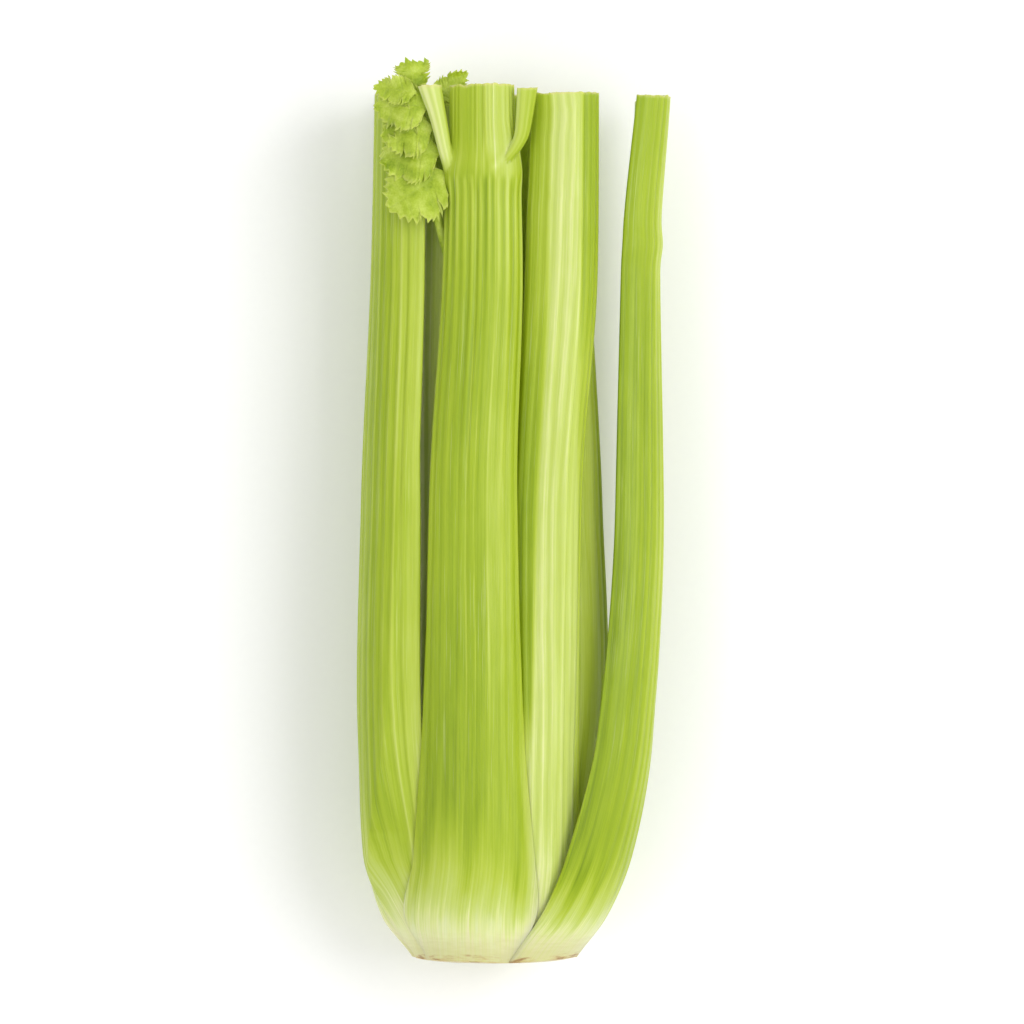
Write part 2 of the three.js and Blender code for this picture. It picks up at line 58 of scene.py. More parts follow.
# The rim of the root end curls up by ROOT_LIFT at ROOT_RADIUS from the axis, and less and
# less up to ROOT_END. A cut below ROOT_END is the root end's, and one above it is a top.
ROOT_LIFT, ROOT_RADIUS, ROOT_END = 1.8, 27, 20
RIB_DEPTH = 0.46
CORNER_REACH = 2.5
STIFFNESS = 14

# name: ribs, thickness, bottom, top, then over KEY_HEIGHTS the middle of the outer face (x, z),
# the way that it faces in degrees, and half of its width along the curve.
STALKS = {
    "stalk_right": (8, 8.4, 0, 281,
        (13.4, 23.4, 32.9, 41.4, 46.2, 46.4, 50.8),
        (53, 59, 62, 62.5, 59, 57, 55),
        (60, 55, 50, 46, 40, 34, 30),
        (14.5, 15.2, 16, 14.6, 14, 12.6, 11.6)),
    "stalk_front_middle": (11, 8.8, 0, 284,
        (-14.5, -14.8, -12.7, -12.3, -12.1, -9, -9.2),
        (58, 66, 72.3, 74.8, 74.3, 73.6, 72.6),
        (106, 102, 97, 93, 92, 92, 91),
        (16.5, 24.3, 22.4, 19, 16.9, 15.7, 14.4)),
    "stalk_left": (10, 8.6, 0, 282,
        (-27, -34.6, -42.8, -44.9, -43.9, -41.3, -40.4),
        (50, 57, 59.5, 60.3, 59.4, 58.6, 58),
        (138, 137, 139, 141, 141, 141, 141),
        (12, 15.5, 17.4, 17.4, 16.9, 15.9, 15)),
    "stalk_back_left": (9, 8.6, 0, 283,
        (-32, -41.6, -47.4, -47.4, -46.2, -44.4, -43),
        (32, 31, 28, 25, 24.5, 24.5, 25),
        (182, 184, 188, 190, 190, 190, 190),
        (12, 15.5, 15, 13.2, 12.8, 12.4, 12)),
    "stalk_under_right": (9, 8.6, 0, 280,
        (12, 17, 20, 18.5, 17, 16.5, 16),
        (20, 13, 6.5, 1.6, 1.2, 1.4, 1.8),
        (312, 308, 303, 297, 292, 291, 290),
        (12, 16, 15.5, 13.2, 12, 11.8, 11.5)),
    "stalk_under_left": (9, 8.6, 0, 284,
        (-21, -27, -31, -32, -31.5, -30.5, -29.5),
        (19, 11, 4, 0.8, 0.7, 1, 1.4),
        (236, 239, 244, 248, 250, 251, 251),
        (13, 16.5, 16, 14.5, 14, 13.8, 13.2)),
    "stalk_back_right": (8, 7.6, 0, 280,
        (22.6, 30.4, 37.4, 43.5, 46.5, 46.8, 48),
        (36, 35.5, 34, 31, 28, 27, 27),
        (358, 356, 352, 346, 342, 340, 340),
        (11, 13.5, 13, 12, 11, 10, 9.5)),
    "stalk_under_middle": (8, 8.6, 0, 281,
        (-5, -5, -5, -5.8, -6.3, -6.3, -6),
        (15, 7, 0.5, -1, -1, -0.9, -0.6),
        (270, 270, 270, 270, 270, 270, 270),
        (10, 12.5, 13, 12.4, 11.6, 11.4, 11)),
    "stalk_front_pale": (10, 8.6, 0, 281.5,
        (6, 9, 12, 12.8, 14, 18.6, 19.6),
        (53.5, 60, 66, 69.3, 70.8, 71, 71),
        (72, 70, 70, 74, 76, 78, 80),
        (12, 14, 14.5, 13.3, 13.2, 13.8, 13)),
    "inner_stalk_right": (6, 7, 10, 276,
        (8, 15, 23, 28.2, 27.2, 23.5, 21),
        (46, 50.5, 54, 55, 54.5, 54, 54),
        (48, 46, 44, 42, 42, 42, 42),
        (8, 9, 10.5, 10.5, 9.5, 9, 8.5)),
    "inner_stalk_left": (6, 7, 10, 279,
        (-15, -18, -22, -24, -24, -23.5, -22.5),
        (47, 50, 54, 56, 56.5, 56.5, 56.5),
        (122, 120, 120, 118, 118, 118, 118),
        (9, 10, 11, 11, 10.5, 10, 10)),
    "inner_stalk_front": (6, 6.6, 11, 281,
        (-3, -3, -2, 0, 1, 1, 1),
        (47, 52, 57, 59.5, 60, 59.5, 59),
        (84, 84, 84, 84, 84, 84, 84),
        (7, 8, 9.5, 9.5, 9, 9, 9)),
    "inner_stalk_back_right": (6, 7, 10, 283,
        (11, 16, 20, 23, 22.5, 21.5, 20),
        (30, 28, 27, 28, 28, 28, 28),
        (345, 345, 345, 347, 347, 347, 347),
        (9, 10, 11, 11, 10.5, 10, 9.5)),
    "inner_stalk_under": (6, 7, 10, 282,
        (-9, -11, -12, -12, -12, -12, -12),
        (24, 20, 15, 12.5, 12.5, 13, 14),
        (262, 260, 260, 260, 260, 260, 260),
        (9, 11, 12, 12, 11.5, 11, 10.5)),
    "inner_stalk_back_left": (6, 7, 10, 284,
        (-20, -26, -32, -35, -35, -34, -32.5),
        (36, 36, 35, 33, 32, 32, 32),
        (182, 183, 186, 190, 192, 193, 194),
        (9, 10, 11, 11, 10.5, 10, 9.5)),
    "heart_stalk_left": (4, 6, 13.5, 272,
        (-14, -16, -18, -20, -20, -20, -19),
        (40, 41, 42, 43, 43, 43, 43),
        (150, 150, 148, 145, 145, 145, 145),
        (6, 7, 8, 8, 8, 8, 7.5)),
    "heart_stalk_right": (4, 6, 13.5, 277,
        (2, 4, 6, 9, 9, 8, 7),
        (36, 37, 40, 42, 42, 42, 42),
        (10, 12, 15, 18, 20, 20, 20),
        (6, 7, 8, 8, 8, 8, 7.5)),
    "heart_stalk_under": (4, 6, 13.5, 268,
        (-6, -5, -4, -3, -3, -3, -3),
        (30, 29, 27, 26, 26, 26, 26),
        (275, 275, 275, 275, 275, 275, 275),
        (6, 7, 8, 8, 8, 8, 7.5)),
}
NODE_AT = {"stalk_right": 233, "stalk_front_middle": 256}
WAIST = {"stalk_front_middle": 0.88}
# Each stalk's own seed, and what is added to it for the patterns of its shape.
SEED = {name: 10 + number for number, name in enumerate(STALKS)}
RIB_PLACES, RIB_DEPTHS, FINE_RIBS, SWELLS = 300, 340, 360, 380

# Cut leaf stalks that leave the front middle stalk at its node: x, z and half-sizes across
# and through, at each height, and how far each section is turned.
BRANCH_OWNER = "stalk_front_middle"
BRANCHES = (
    (12, ((246, -17.0, 66.2, 1.4, 1.5), (254, -18.8, 67.2, 2.0, 1.9), (263, -20.9, 69.4, 2.3, 2.1),
          (273, -23.1, 69.8, 2.8, 2.3), (283.5, -25.9, 69.6, 3.9, 2.6))),
    (-10, ((246, -6.0, 67.0, 1.4, 1.5), (254, -4.4, 69.0, 2.0, 1.9), (259, -1.8, 70.2, 2.2, 2.0),
           (263, 1.4, 70.7, 2.3, 2.1), (268, 3.8, 70.7, 2.5, 2.2), (275, 4.8, 70.6, 2.9, 2.4),
           (283, 5.6, 70.4, 3.4, 2.5))),
)
BRANCH_POINTS = 56
# The crease where a branch meets its stalk is rounded: a point of the branch this near to
# the stalk is in it, and this is how far the rounding reaches and how often it is done.
CREASE_WITHIN, CREASE_REACH, CREASE_TURNS = 0.45, 1.5, 14

# Widest reach of the root core from the axis, going up from the cut face.
CORE = ((0, 40), (3, 40), (6, 40), (8.5, 24), (9.3, 13), (9.5, 9), (12.2, 6.5), (12.9, 2.5))
CORE_POINTS = 120

# The leaf sprig's thin stem: x, h, z and radius.
STEM = ((-10.5, 15, 55.0, 1.2), (-10.5, 30, 58.8, 1.5), (-10.5, 60, 62.0, 1.6), (-11, 100, 62.9, 1.6),
        (-12.5, 150, 62.6, 1.6), (-16, 200, 62.0, 1.5), (-20, 228, 62.2, 1.5), (-23.6, 243, 63.4, 1.4),
        (-25.2, 256, 64.4, 1.3), (-25.8, 268, 64.8, 1.2), (-27.2, 280, 65.0, 1.0))
# Leaflets: root x and h, heading in degrees from +X towards +Y, length, width, height above
# the sheet that they lie in, and how far along the stem each one leaves it.
LEAFLETS = (
    ((-30.4, 280.8), 97, (10.2, 10.2), -1.8, 280),
    ((-31.0, 281.6), 172, (12.0, 8.0), 0.8, 278.5),
    ((-27.4, 277.3), 181, (15.0, 13.5), 0.3, 274),
    ((-26.0, 270.0), 190, (14.4, 14.0), 0.1, 267),
    ((-23.8, 262.4), 188, (17.0, 15.5), 0.0, 259),
    ((-22.6, 255.2), 214, (18.4, 19.0), -0.3, 251),
    ((-25.6, 278.0), 42, (14.5, 7.5), -5.6, 277),
)
ROLL = 0.22
FOLD = 0.07
BLADE_THICKNESS = 0.5
BLADE_GROWTH = (1.16, 1.22)
LOBES = (0.16, 0.46, 0.78)
# How many intervals each piece has across its inner face; its outer face has twice as many.
ACROSS = {"stalk": 58, "inner": 34, "heart": 24}


# ------------------------------------------------------------------ curves
def curve(places, values, at):
    """A smooth curve through the given values that never overshoots them."""
    places, values = np.asarray(places, float), np.asarray(values, float)
    at = np.clip(np.asarray(at, float), places[0], places[-1])
    gap = np.diff(places)
    slope = np.diff(values) / gap
    bend = np.concatenate([slope[:1], np.zeros(len(places) - 2), slope[-1:]])
    for k in range(1, len(places) - 1):
        a, b = slope[k - 1], slope[k]
        if a * b <= 0:
            bend[k] = (a * gap[k] + b * gap[k - 1]) / (gap[k] + gap[k - 1])
        else:
            one, two = 2 * gap[k] + gap[k - 1], gap[k] + 2 * gap[k - 1]
            bend[k] = (one + two) / (one / a + two / b)
    i = np.clip(np.searchsorted(places, at, side="right") - 1, 0, len(gap) - 1)
    w = gap[i]
    t = (at - places[i]) / w
    u = 1 - t
    return ((1 + 2 * t) * u * u * values[i] + t * u * u * w * bend[i]
            + t * t * (3 - 2 * t) * values[i + 1] + t * t * (t - 1) * w * bend[i + 1])


def smooth(a, b, v):
    """Goes smoothly from 0 at a to 1 at b, and a may be the higher of the two."""
    t = np.clip((np.asarray(v, float) - a) / (b - a), 0, 1)
    return t * t * (3 - 2 * t)


def axis_at(h):
    """The middle of the head at height h: x and z."""
    return np.array([curve(*AXIS_X, h), curve(*AXIS_Z, h)])


def waves(seed, count, lowest, highest):
    """A smooth random curve of one value, about -1 to 1, made of a few seeded waves."""
    rng = np.random.default_rng(seed)
    rates = rng.uniform(lowest, highest, count)
    phases = rng.uniform(0, 2 * np.pi, count)
    shares = rng.uniform(0.5, 1, count)
    shares /= np.sqrt((shares ** 2).sum())
    return lambda v: sum(a * np.sin(r * np.asarray(v, float) + p) for r, p, a in zip(rates, phases, shares))


def bell(value, middle, half):
    """1 at the middle, falling to 0.37 at half on either side."""
    return np.exp(-(((np.asarray(value, float) - middle) / half) ** 2))


def role_of(name):
    """stalk for an outer stalk, inner or heart for the others."""
    return name.split("_")[0]


def ring_of(outer, inner):
    """The closed ring round a crescent: its outer face, then its inner face without its ends."""
    return np.concatenate([outer, inner[1:-1][::-1]])


def column(rows, key, wanted, at):
    """The wanted column of a table, as a smooth curve over its key column."""
    return curve([row[key] for row in rows], [row[wanted] for row in rows], at)


# ------------------------------------------------------------------ room for the stalks
STEPS = 360
STEP = 2 * math.pi / STEPS
AROUND = np.arange(STEPS) * STEP
FAR, CORNER_STEPS = 1000.0, 40


def floor_room(h):
    """How far it is from the axis to the floor in each direction, and FAR where it misses it."""
    down = -np.sin(AROUND)
    return np.where(down > 0.05, axis_at(h)[1] / np.maximum(down, 0.05), FAR)


def tighten(taken, ring, h):
    """Lowers the room in each direction to where a closed ring begins, less the clearance."""
    q = ring - axis_at(h)
    at = np.arctan2(q[:, 1], q[:, 0])
    turn = (np.roll(at, -1) - at + np.pi) % (2 * np.pi) - np.pi
    ahead = np.roll(q, -1, axis=0)
    low = np.ceil(np.minimum(at, at + turn) / STEP).astype(int)
    high = np.floor(np.maximum(at, at + turn) / STEP).astype(int)
    many = np.where(np.abs(turn) < 1e-9, 0, np.maximum(high - low + 1, 0))
    side = np.repeat(np.arange(len(q)), many)
    k = low[side] + np.arange(many.sum()) - np.repeat(np.cumsum(many) - many, many)
    f = (k * STEP - at[side]) / turn[side]
    point = q[side] + (ahead[side] - q[side]) * f[:, None]
    room = np.hypot(point[:, 0], point[:, 1]) - curve(CLEARANCE_HEIGHTS, CLEARANCES, h)
    np.minimum.at(taken, k % STEPS, room)


def soften(taken, h):
    """The room in each direction, above the floor, with its inner corners rounded."""
    room = np.minimum(floor_room(h), taken)
    known = np.isfinite(taken)
    reach = np.where(known, taken, 0.0)
    for off in range(1, CORNER_STEPS):
        rounded = np.where(known, reach + (reach * off * STEP) ** 2 / (2 * CORNER_REACH), np.inf)
        room = np.minimum(room, np.minimum(np.roll(rounded, off), np.roll(rounded, -off)))
    return room


# ------------------------------------------------------------------ one stalk, one slice
def places_across(name):
    """Places across the outer face, -1 to 1, closer together at the margins."""
    count = 2 * ACROSS[role_of(name)]
    even = np.linspace(-1, 1, count + 1)
    return np.sign(even) * (1 - (1 - np.abs(even)) ** 1.12)


def rib_phase(name, s):
    """Goes up by about one from each rib to the next, and is whole at a rib's crest."""
    ribs = STALKS[name][0] - 1
    return (s + 0.93) / 1.86 * ribs + 0.2 * waves(SEED[name] + RIB_PLACES, 3, 2, 5)(s)


def rib_strength(name, h):
    """How deep the grooves between the ribs are, 0 to 1, at places s and height h."""
    grown = smooth(10, 55, h)
    if name != BRANCH_OWNER:
        return lambda s: grown * (1 + 0 * s)

    def strength(s):
        ends = 253.5 + 1.8 * waves(41, 4, 7, 17)(s)
        below = 1 - smooth(-3.5, 1.0, h - ends)
        above = smooth(260, 268, h) * (0.28 + 0.42 * smooth(0.05, -0.1, s))
        return grown * np.maximum(below, above)

    return strength


def groove(name, s, h):
    """How far the outer face is sunk between its ribs, in millimetres."""
    phase = rib_phase(name, s)
    if name == BRANCH_OWNER and h > 257:
        phase = phase * 1.6
    inside = smooth(0.97, 0.93, np.abs(s))
    valley = (0.5 - 0.5 * np.cos(2 * np.pi * phase)) ** 1.4
    each = np.clip(0.62 + 0.6 * waves(SEED[name] + RIB_DEPTHS, 4, 0.6, 2.2)(phase + 0.002 * h), 0.08, 1.25)
    finer = 2.6 * phase + 0.3 * waves(SEED[name] + FINE_RIBS, 2, 2, 5)(s)
    small = 0.04 * (0.5 - 0.5 * np.cos(2 * np.pi * finer))
    calm = 0.5 + 0.5 * smooth(130, 225, h) if name == BRANCH_OWNER else 1
    return (RIB_DEPTH * valley * each + small) * calm * rib_strength(name, h)(s) * inside


def stub_ridge(s, h):
    """The low ridge that runs from the right stub's foot down to the middle of the node, 0 to 1."""
    along = np.clip((-0.2 - s) / 0.5, 0, 1)
    return bell(h, 257.5 + 8 * along ** 1.5, 1.7) * smooth(-0.1, -0.24, s) * (1 - smooth(-0.68, -0.8, s))


def relief(name, s, h):
    """Low swells of the outer face, in millimetres, inwards."""
    seed = SEED[name] + SWELLS
    swell = waves(seed, 3, 1.5, 4)(s + 0.004 * h) * waves(seed + 1, 3, 0.02, 0.06)(h)
    sunk = 0.16 * (1 + swell) * smooth(3, 30, h) * smooth(1, 0.9, np.abs(s))
    if name != BRANCH_OWNER:
        return sunk
    lobes = smooth(259, 270, h)
    left = 0.3 * smooth(0.06, 0.2, s) * (1 - smooth(0.75, 0.95, s))
    ridge = -0.4 * bell(s, -0.19, 0.15)
    seam = 0.5 * bell(s, -0.01, 0.06)
    flares = bell(h, 252, 7) * (bell(s, 0.78, 0.14) + bell(s, -0.66, 0.14))
    return sunk + lobes * (left + ridge + seam) - 0.35 * flares - 0.3 * stub_ridge(s, h)


def section(name, h, room, full=False):
    """The outer face from one margin to the other and the inner face alike, as points. full
    leaves out the waist above the node."""
    ribs, thick, _, _, xs, zs, faces, halves = STALKS[name]
    face = math.radians(curve(KEY_HEIGHTS, faces, h))
    narrow = 0 if full or name not in WAIST else 1 - WAIST[name]
    node = NODE_AT.get(name, 0)
    left, right = (1 - narrow * smooth(a, a + 12, h) for a in (node - 4, node + 6))
    half = float(curve(KEY_HEIGHTS, halves, h))
    swelling = 0.8 * math.exp(-(((h - NODE_AT[name]) / 5) ** 2)) if name in NODE_AT else 0
    thick = thick * float(curve(KEY_HEIGHTS, THICKNESS_SHARE, h))
    margin = float(curve(MARGIN_HEIGHTS, MARGIN_SHARES, h))
    swing = math.radians(float(curve((0, 140, 285), (46, 44, 52), h)))
    radius = half / swing
    feather = 1 - smooth(52, 100, h)
    middle = np.array([curve(KEY_HEIGHTS, xs, h), curve(KEY_HEIGHTS, zs, h)])
    middle -= radius * np.array([math.cos(face), math.sin(face)])
    axis = axis_at(h)

    def place(s, inside):
        whole = thick * (margin + (1 - margin) * (1 - np.abs(s) ** 2.2))
        here = whole * np.sqrt(np.clip(1 - np.abs(s) ** (9 - 4 * feather), 0, None))
        gone = (whole - here) / 2
        depth = whole - gone * (1 - feather) if inside else gone * (1 + feather) - swelling
        a = face + s * swing * np.where(s < 0, right, left)
        return middle + (radius - depth)[:, None] * np.stack([np.cos(a), np.sin(a)], 1)

    s = places_across(name)
    outer, inner = place(s, False), place(s, True)
    arm = outer - axis
    away = np.hypot(arm[:, 0], arm[:, 1])
    at = (np.arctan2(arm[:, 1], arm[:, 0]) / STEP) % STEPS
    limit = np.interp(at, np.arange(STEPS + 1), np.append(room, room[0]))
    need = np.maximum(away - limit, 0)
    apart = (s[:, None] - s[None, :]) * half
    press = np.maximum((need[None, :] - apart ** 2 / (2 * STIFFNESS)).max(1), 0)
    low = outer[:, 1] - arm[:, 1] * press / away < 0.02
    sunk = np.where(low, 0, groove(name, s, h) + relief(name, s, h))
    outer = outer - arm * ((press + sunk) / away)[:, None]
    inner = inner - arm * (press / away)[:, None]
    outer[:, 1] = np.maximum(outer[:, 1], 0)
    inner[:, 1] = np.maximum(inner[:, 1], 0)
    return outer, inner[::2]


def along_head(x, z, h):
    """The cut root end is not quite flat: its rim curls up a little."""
    axis = axis_at(0)
    away = np.hypot(x - axis[0], z - axis[1]) / ROOT_RADIUS
    return h + ROOT_LIFT * np.minimum(away, 1) ** 4 * (1 - smooth(0, ROOT_END, h))


def in_frame(x, h, z):
    """Metres in the shared frame."""
    return np.stack([x - CENTRE_X, along_head(x, z, h) - CENTRE_Y, z], -1) * MM


# ------------------------------------------------------------------ meshes
def add_to_scene(obj):
    bpy.context.scene.collection.objects.link(obj)
    return obj


def ends_of(mesh):
    """The two points of each edge."""
    ends = np.zeros(2 * len(mesh.edges), np.int32)
    mesh.edges.foreach_get("vertices", ends)
    return ends.reshape(-1, 2)


def tree_of(points):
    """A tree that finds the nearest of the points and its number."""
    tree = KDTree(len(points))
    for i, point in enumerate(points):
        tree.insert(point, i)
    tree.balance()
    return tree


def mesh_from(name, points, faces, slots, floats, sharp):
    """A smooth mesh of triangles and quads. floats are its point attributes, slots its
    faces' materials, and an edge between two sharp points is a sharp edge."""
    mesh = bpy.data.meshes.new(name)
    sizes = np.array([len(f) for f in faces])
    corners = np.fromiter((v for f in faces for v in f), np.int32, int(sizes.sum()))
    mesh.vertices.add(len(points))
    mesh.vertices.foreach_set("co", np.asarray(points, np.float32).ravel())
    mesh.loops.add(len(corners))
    mesh.loops.foreach_set("vertex_index", corners)
    mesh.polygons.add(len(sizes))
    mesh.polygons.foreach_set("loop_start", (np.cumsum(sizes) - sizes).astype(np.int32))
    mesh.polygons.foreach_set("material_index", np.asarray(slots, np.int32))
    mesh.update(calc_edges=True)
    mesh.shade_smooth()
    for key, values in floats.items():
        values = np.asarray(values, np.float32)
        flat = values.ndim == 1
        layer = mesh.attributes.new(key, "FLOAT" if flat else "FLOAT_VECTOR", "POINT")
        layer.data.foreach_set("value" if flat else "vector", values.ravel())
    layer = mesh.attributes.new("sharp_edge", "BOOLEAN", "EDGE")
    layer.data.foreach_set("value", np.asarray(sharp)[ends_of(mesh)].all(1))
    mesh.validate()
    return add_to_scene(bpy.data.objects.new(name, mesh))


def cap_faces(first, outer, rows):
    """Faces that fill a cut end. outer are the points of its outer side, and rows the points
    of each row from there to the inner side, half as many, which share both end points."""
    faces = []
    row = rows[0]
    for j in range(len(row) - 1):
        a, b, c = outer[2 * j], outer[2 * j + 1], outer[2 * j + 2]
        if row[j] != a:
            faces.append((a, b, row[j]))
        faces.append((b, row[j + 1], row[j]) if row[j + 1] != c else (b, c, row[j]))
        if row[j + 1] != c:
            faces.append((b, c, row[j + 1]))
    for near, far in zip(rows[:-1], rows[1:]):
        for j in range(len(near) - 1):
            quad = [near[j], near[j + 1], far[j + 1], far[j]]
            faces.append(tuple(dict.fromkeys(quad)))
    return faces if first else [f[::-1] for f in faces]


def heights_of(name):
    """Slices that a stalk is drawn through: closer at the root end, at a node and at the cut."""
    _, _, bottom, top = STALKS[name][:4]
    outer = name.startswith("stalk")
    rows = list(np.arange(0, 12, 0.75)) + list(np.arange(12, 44, 1.5)) + list(np.arange(44, 232, 4.0))
    rows += list(np.arange(232, 284, 2.0)) if outer else list(np.arange(232, 284, 4.0))
    if name in NODE_AT:
        rows += list(np.arange(NODE_AT[name] - 12, NODE_AT[name] + 16, 0.75))
    rows = [round(float(h), 2) for h in rows if bottom + 0.3 < h < top - 0.3]
    return sorted({float(bottom), *rows, float(top)})


CAP_ROWS = {"stalk": 9, "inner": 7, "heart": 6}


def cut_top(seed):
    """The knife leaves the cut a little uneven, in millimetres along the head."""
    broad, fine = waves(seed, 3, 0.1, 0.3), waves(seed + 500, 5, 0.8, 2.4)
    burr = waves(seed + 700, 6, 1.5, 5)
    return lambda x, z: (0.36 * broad(x + 0.6 * z) + 0.2 * fine(x - 0.4 * z)
                         + 0.3 * np.clip(burr(x + 0.2 * z) - 0.9, 0, 1))


def stalk_mesh(name, drawn, seed):
    """The closed crescent through the drawn slices, with its two cut ends."""
    k = ACROSS[role_of(name)]
    heights = [h for h, _, _ in drawn]
    count = 3 * k
    s_outer = places_across(name)
    s_ring = np.concatenate([s_outer, s_outer[::2][1:-1][::-1]])
    rings = [ring_of(outer, inner) for _, outer, inner in drawn]
    uneven = cut_top(seed)
    points, high, across, depth = [], [], [], []
    side = np.concatenate([np.zeros(2 * k + 1), np.ones(k - 1)])
    for i, (h, ring) in enumerate(zip(heights, rings)):
        lift = uneven(ring[:, 0], ring[:, 1]) if i == len(heights) - 1 else 0
        points.append(in_frame(ring[:, 0], h + lift, ring[:, 1]))
        high.append(np.full(count, h))
        across.append(s_ring)
        depth.append(side)
    quads = []
    a = np.arange(count)
    b = (a + 1) % count
    for i in range(len(heights) - 1):
        low, up = i * count, (i + 1) * count
        quads.append(np.stack([low + a, up + a, up + b, low + b], 1))
    faces = [tuple(f) for f in np.concatenate(quads).tolist()]
    slots = [0] * len(faces)
    total = count * len(heights)
    layers = CAP_ROWS[role_of(name)]
    for first in (True, False):
        index = 0 if first else len(heights) - 1
        h, outer, inner = drawn[index]
        base = index * count
        outer_points = [base + j for j in range(2 * k + 1)]
        inner_points = [outer_points[0], *[base + 3 * k - j for j in range(1, k)], outer_points[-1]]
        rows = []
        for layer in range(1, layers):
            f = layer / layers
            middle = (outer[::2] * (1 - f) + inner * f)[1:-1]
            lift = uneven(middle[:, 0], middle[:, 1]) if not first else 0
            points.append(in_frame(middle[:, 0], h + lift, middle[:, 1]))
            high.append(np.full(k - 1, h))
            across.append(s_outer[::2][1:-1])
            depth.append(np.full(k - 1, f))
            rows.append([outer_points[0], *range(total, total + k - 1), outer_points[-1]])
            total += k - 1
        rows.append(inner_points)
        made = cap_faces(first, outer_points, rows)
        faces += made
        slots += [1] * len(made)
    points, high, across, depth = (np.concatenate(v) for v in (points, high, across, depth))
    sharp = np.zeros(len(points), bool)
    sharp[:count] = True
    sharp[count * (len(heights) - 1):count * len(heights)] = True
    return points, faces, slots, high, across, depth, sharp


# ------------------------------------------------------------------ branches, core and sprig
def branch_ring(branch, h):
    """A ribbed oval across the head at height h, its first point at its underside."""
    turn, rows = branch
    x, z, across, through = (float(column(rows, 0, n, h)) for n in (1, 2, 3, 4))
    turn = math.radians(turn)
    a = 2 * math.pi * np.arange(BRANCH_POINTS) / BRANCH_POINTS - math.pi / 2
    ribs = 1 - 0.05 * (0.5 - 0.5 * np.cos(9 * a + 1.3 * np.sin(2 * a))) * smooth(254, 262, h)
    u, v = across * ribs * np.cos(a), through * ribs * np.sin(a)
    return np.stack([x + u * math.cos(turn) - v * math.sin(turn),
                     z + u * math.sin(turn) + v * math.cos(turn)], 1)


def tube(rings, end_rows):
    """A closed body through rings of points, from its first end to its last. Each end is
    filled by rings that shrink to its middle. Gives the points, the faces, which of three
    sorts each face is (0 side, 1 first end, 2 last end), and how far into an end each
    point is."""
    count = len(rings[0])
    points, depth = list(rings), [np.zeros(count)] * len(rings)
    around = np.arange(count)
    nxt = (around + 1) % count
    faces, sorts = [], []

    def band(low, up, sort, flip):
        quads = np.stack([low + around, low + nxt, up + nxt, up + around], 1)
        faces.extend(tuple(f[::-1] if flip else f) for f in quads.tolist())
        sorts.extend([sort] * count)

    for i in range(len(rings) - 1):
        band(i * count, (i + 1) * count, 0, False)
    total = count * len(rings)
    for sort, ring, base in ((1, rings[0], 0), (2, rings[-1], count * (len(rings) - 1))):
        middle = ring.mean(0)
        for row in range(1, end_rows):
            share = 1 - row / end_rows
            points.append(middle + (ring - middle) * share)
            depth.append(np.full(count, 1 - share))
            band(base, total, sort, sort == 1)
            base, total = total, total + count
        points.append(middle[None])
        depth.append(np.ones(1))
        fan = np.stack([base + around, base + nxt, np.full(count, total)], 1)
        faces.extend(tuple(f[::-1] if sort == 1 else f) for f in fan.tolist())
        sorts.extend([sort] * count)
        total += 1
    return np.concatenate(points), faces, sorts, np.concatenate(depth)


def rod(places, sides):
    """A round rod through places (x, y, z and radius, in millimetres along the head)."""
    rows = np.array(places, float)
    middle = rows[:, :3]
    along = np.gradient(middle, axis=0)
    along /= np.linalg.norm(along, axis=1)[:, None]
    side = np.cross([0.0, 0.0, 1.0], along)
    side /= np.linalg.norm(side, axis=1)[:, None]
    up = np.cross(along, side)
    a = 2 * np.pi * np.arange(sides) / sides
    return [m + r * (np.cos(a)[:, None] * e + np.sin(a)[:, None] * f)
            for m, e, f, r in zip(middle, side, up, rows[:, 3])]


def sheet(x):
    """Height of the sheet that the sprig's leaflets lie in."""
    return 67.2 + 0.9 * smooth(-24, -32, x) - 5.4 * smooth(-31, -45, x)


BLADE_ROWS, BLADE_COLUMNS, TEETH = 150, 14, 13
FAN = ((0, 0.06, 0.2, 0.45, 0.7, 0.88, 1), (0.03, 0.12, 0.41, 0.49, 0.40, 0.22, 0.0))
BLUNT_FAN = ((0, 0.1, 0.3, 0.6, 0.85, 1), (0.1, 0.22, 0.32, 0.41, 0.46, 0.43))


def blade_edge(u, seed, fan):
    """Half-width of a leaflet at places u along it: a fan of three lobes with sharp teeth."""
    rng = np.random.default_rng(seed)
    fan = curve(*fan, u)
    notches = sum(deep * bell(u, at, 0.02) for at, deep in ((0.32, rng.uniform(0.12, 0.2)),
                                                           (0.645, rng.uniform(0.1, 0.18))))
    saw = (u + 0.016 * waves(seed, 3, 9, 20)(u)) * TEETH % 1
    tooth = np.where(saw < 0.72, (saw / 0.72) ** 1.4, (1 - saw) / 0.28)
    size = 0.1 * (0.7 + 0.55 * waves(seed + 1, 3, 12, 36)(u))
    toothed = fan - notches + size * (tooth - 0.4) * smooth(0.05, 0.16, u) * smooth(1, 0.9, u)
    return np.clip(toothed, 0.004, None), tooth


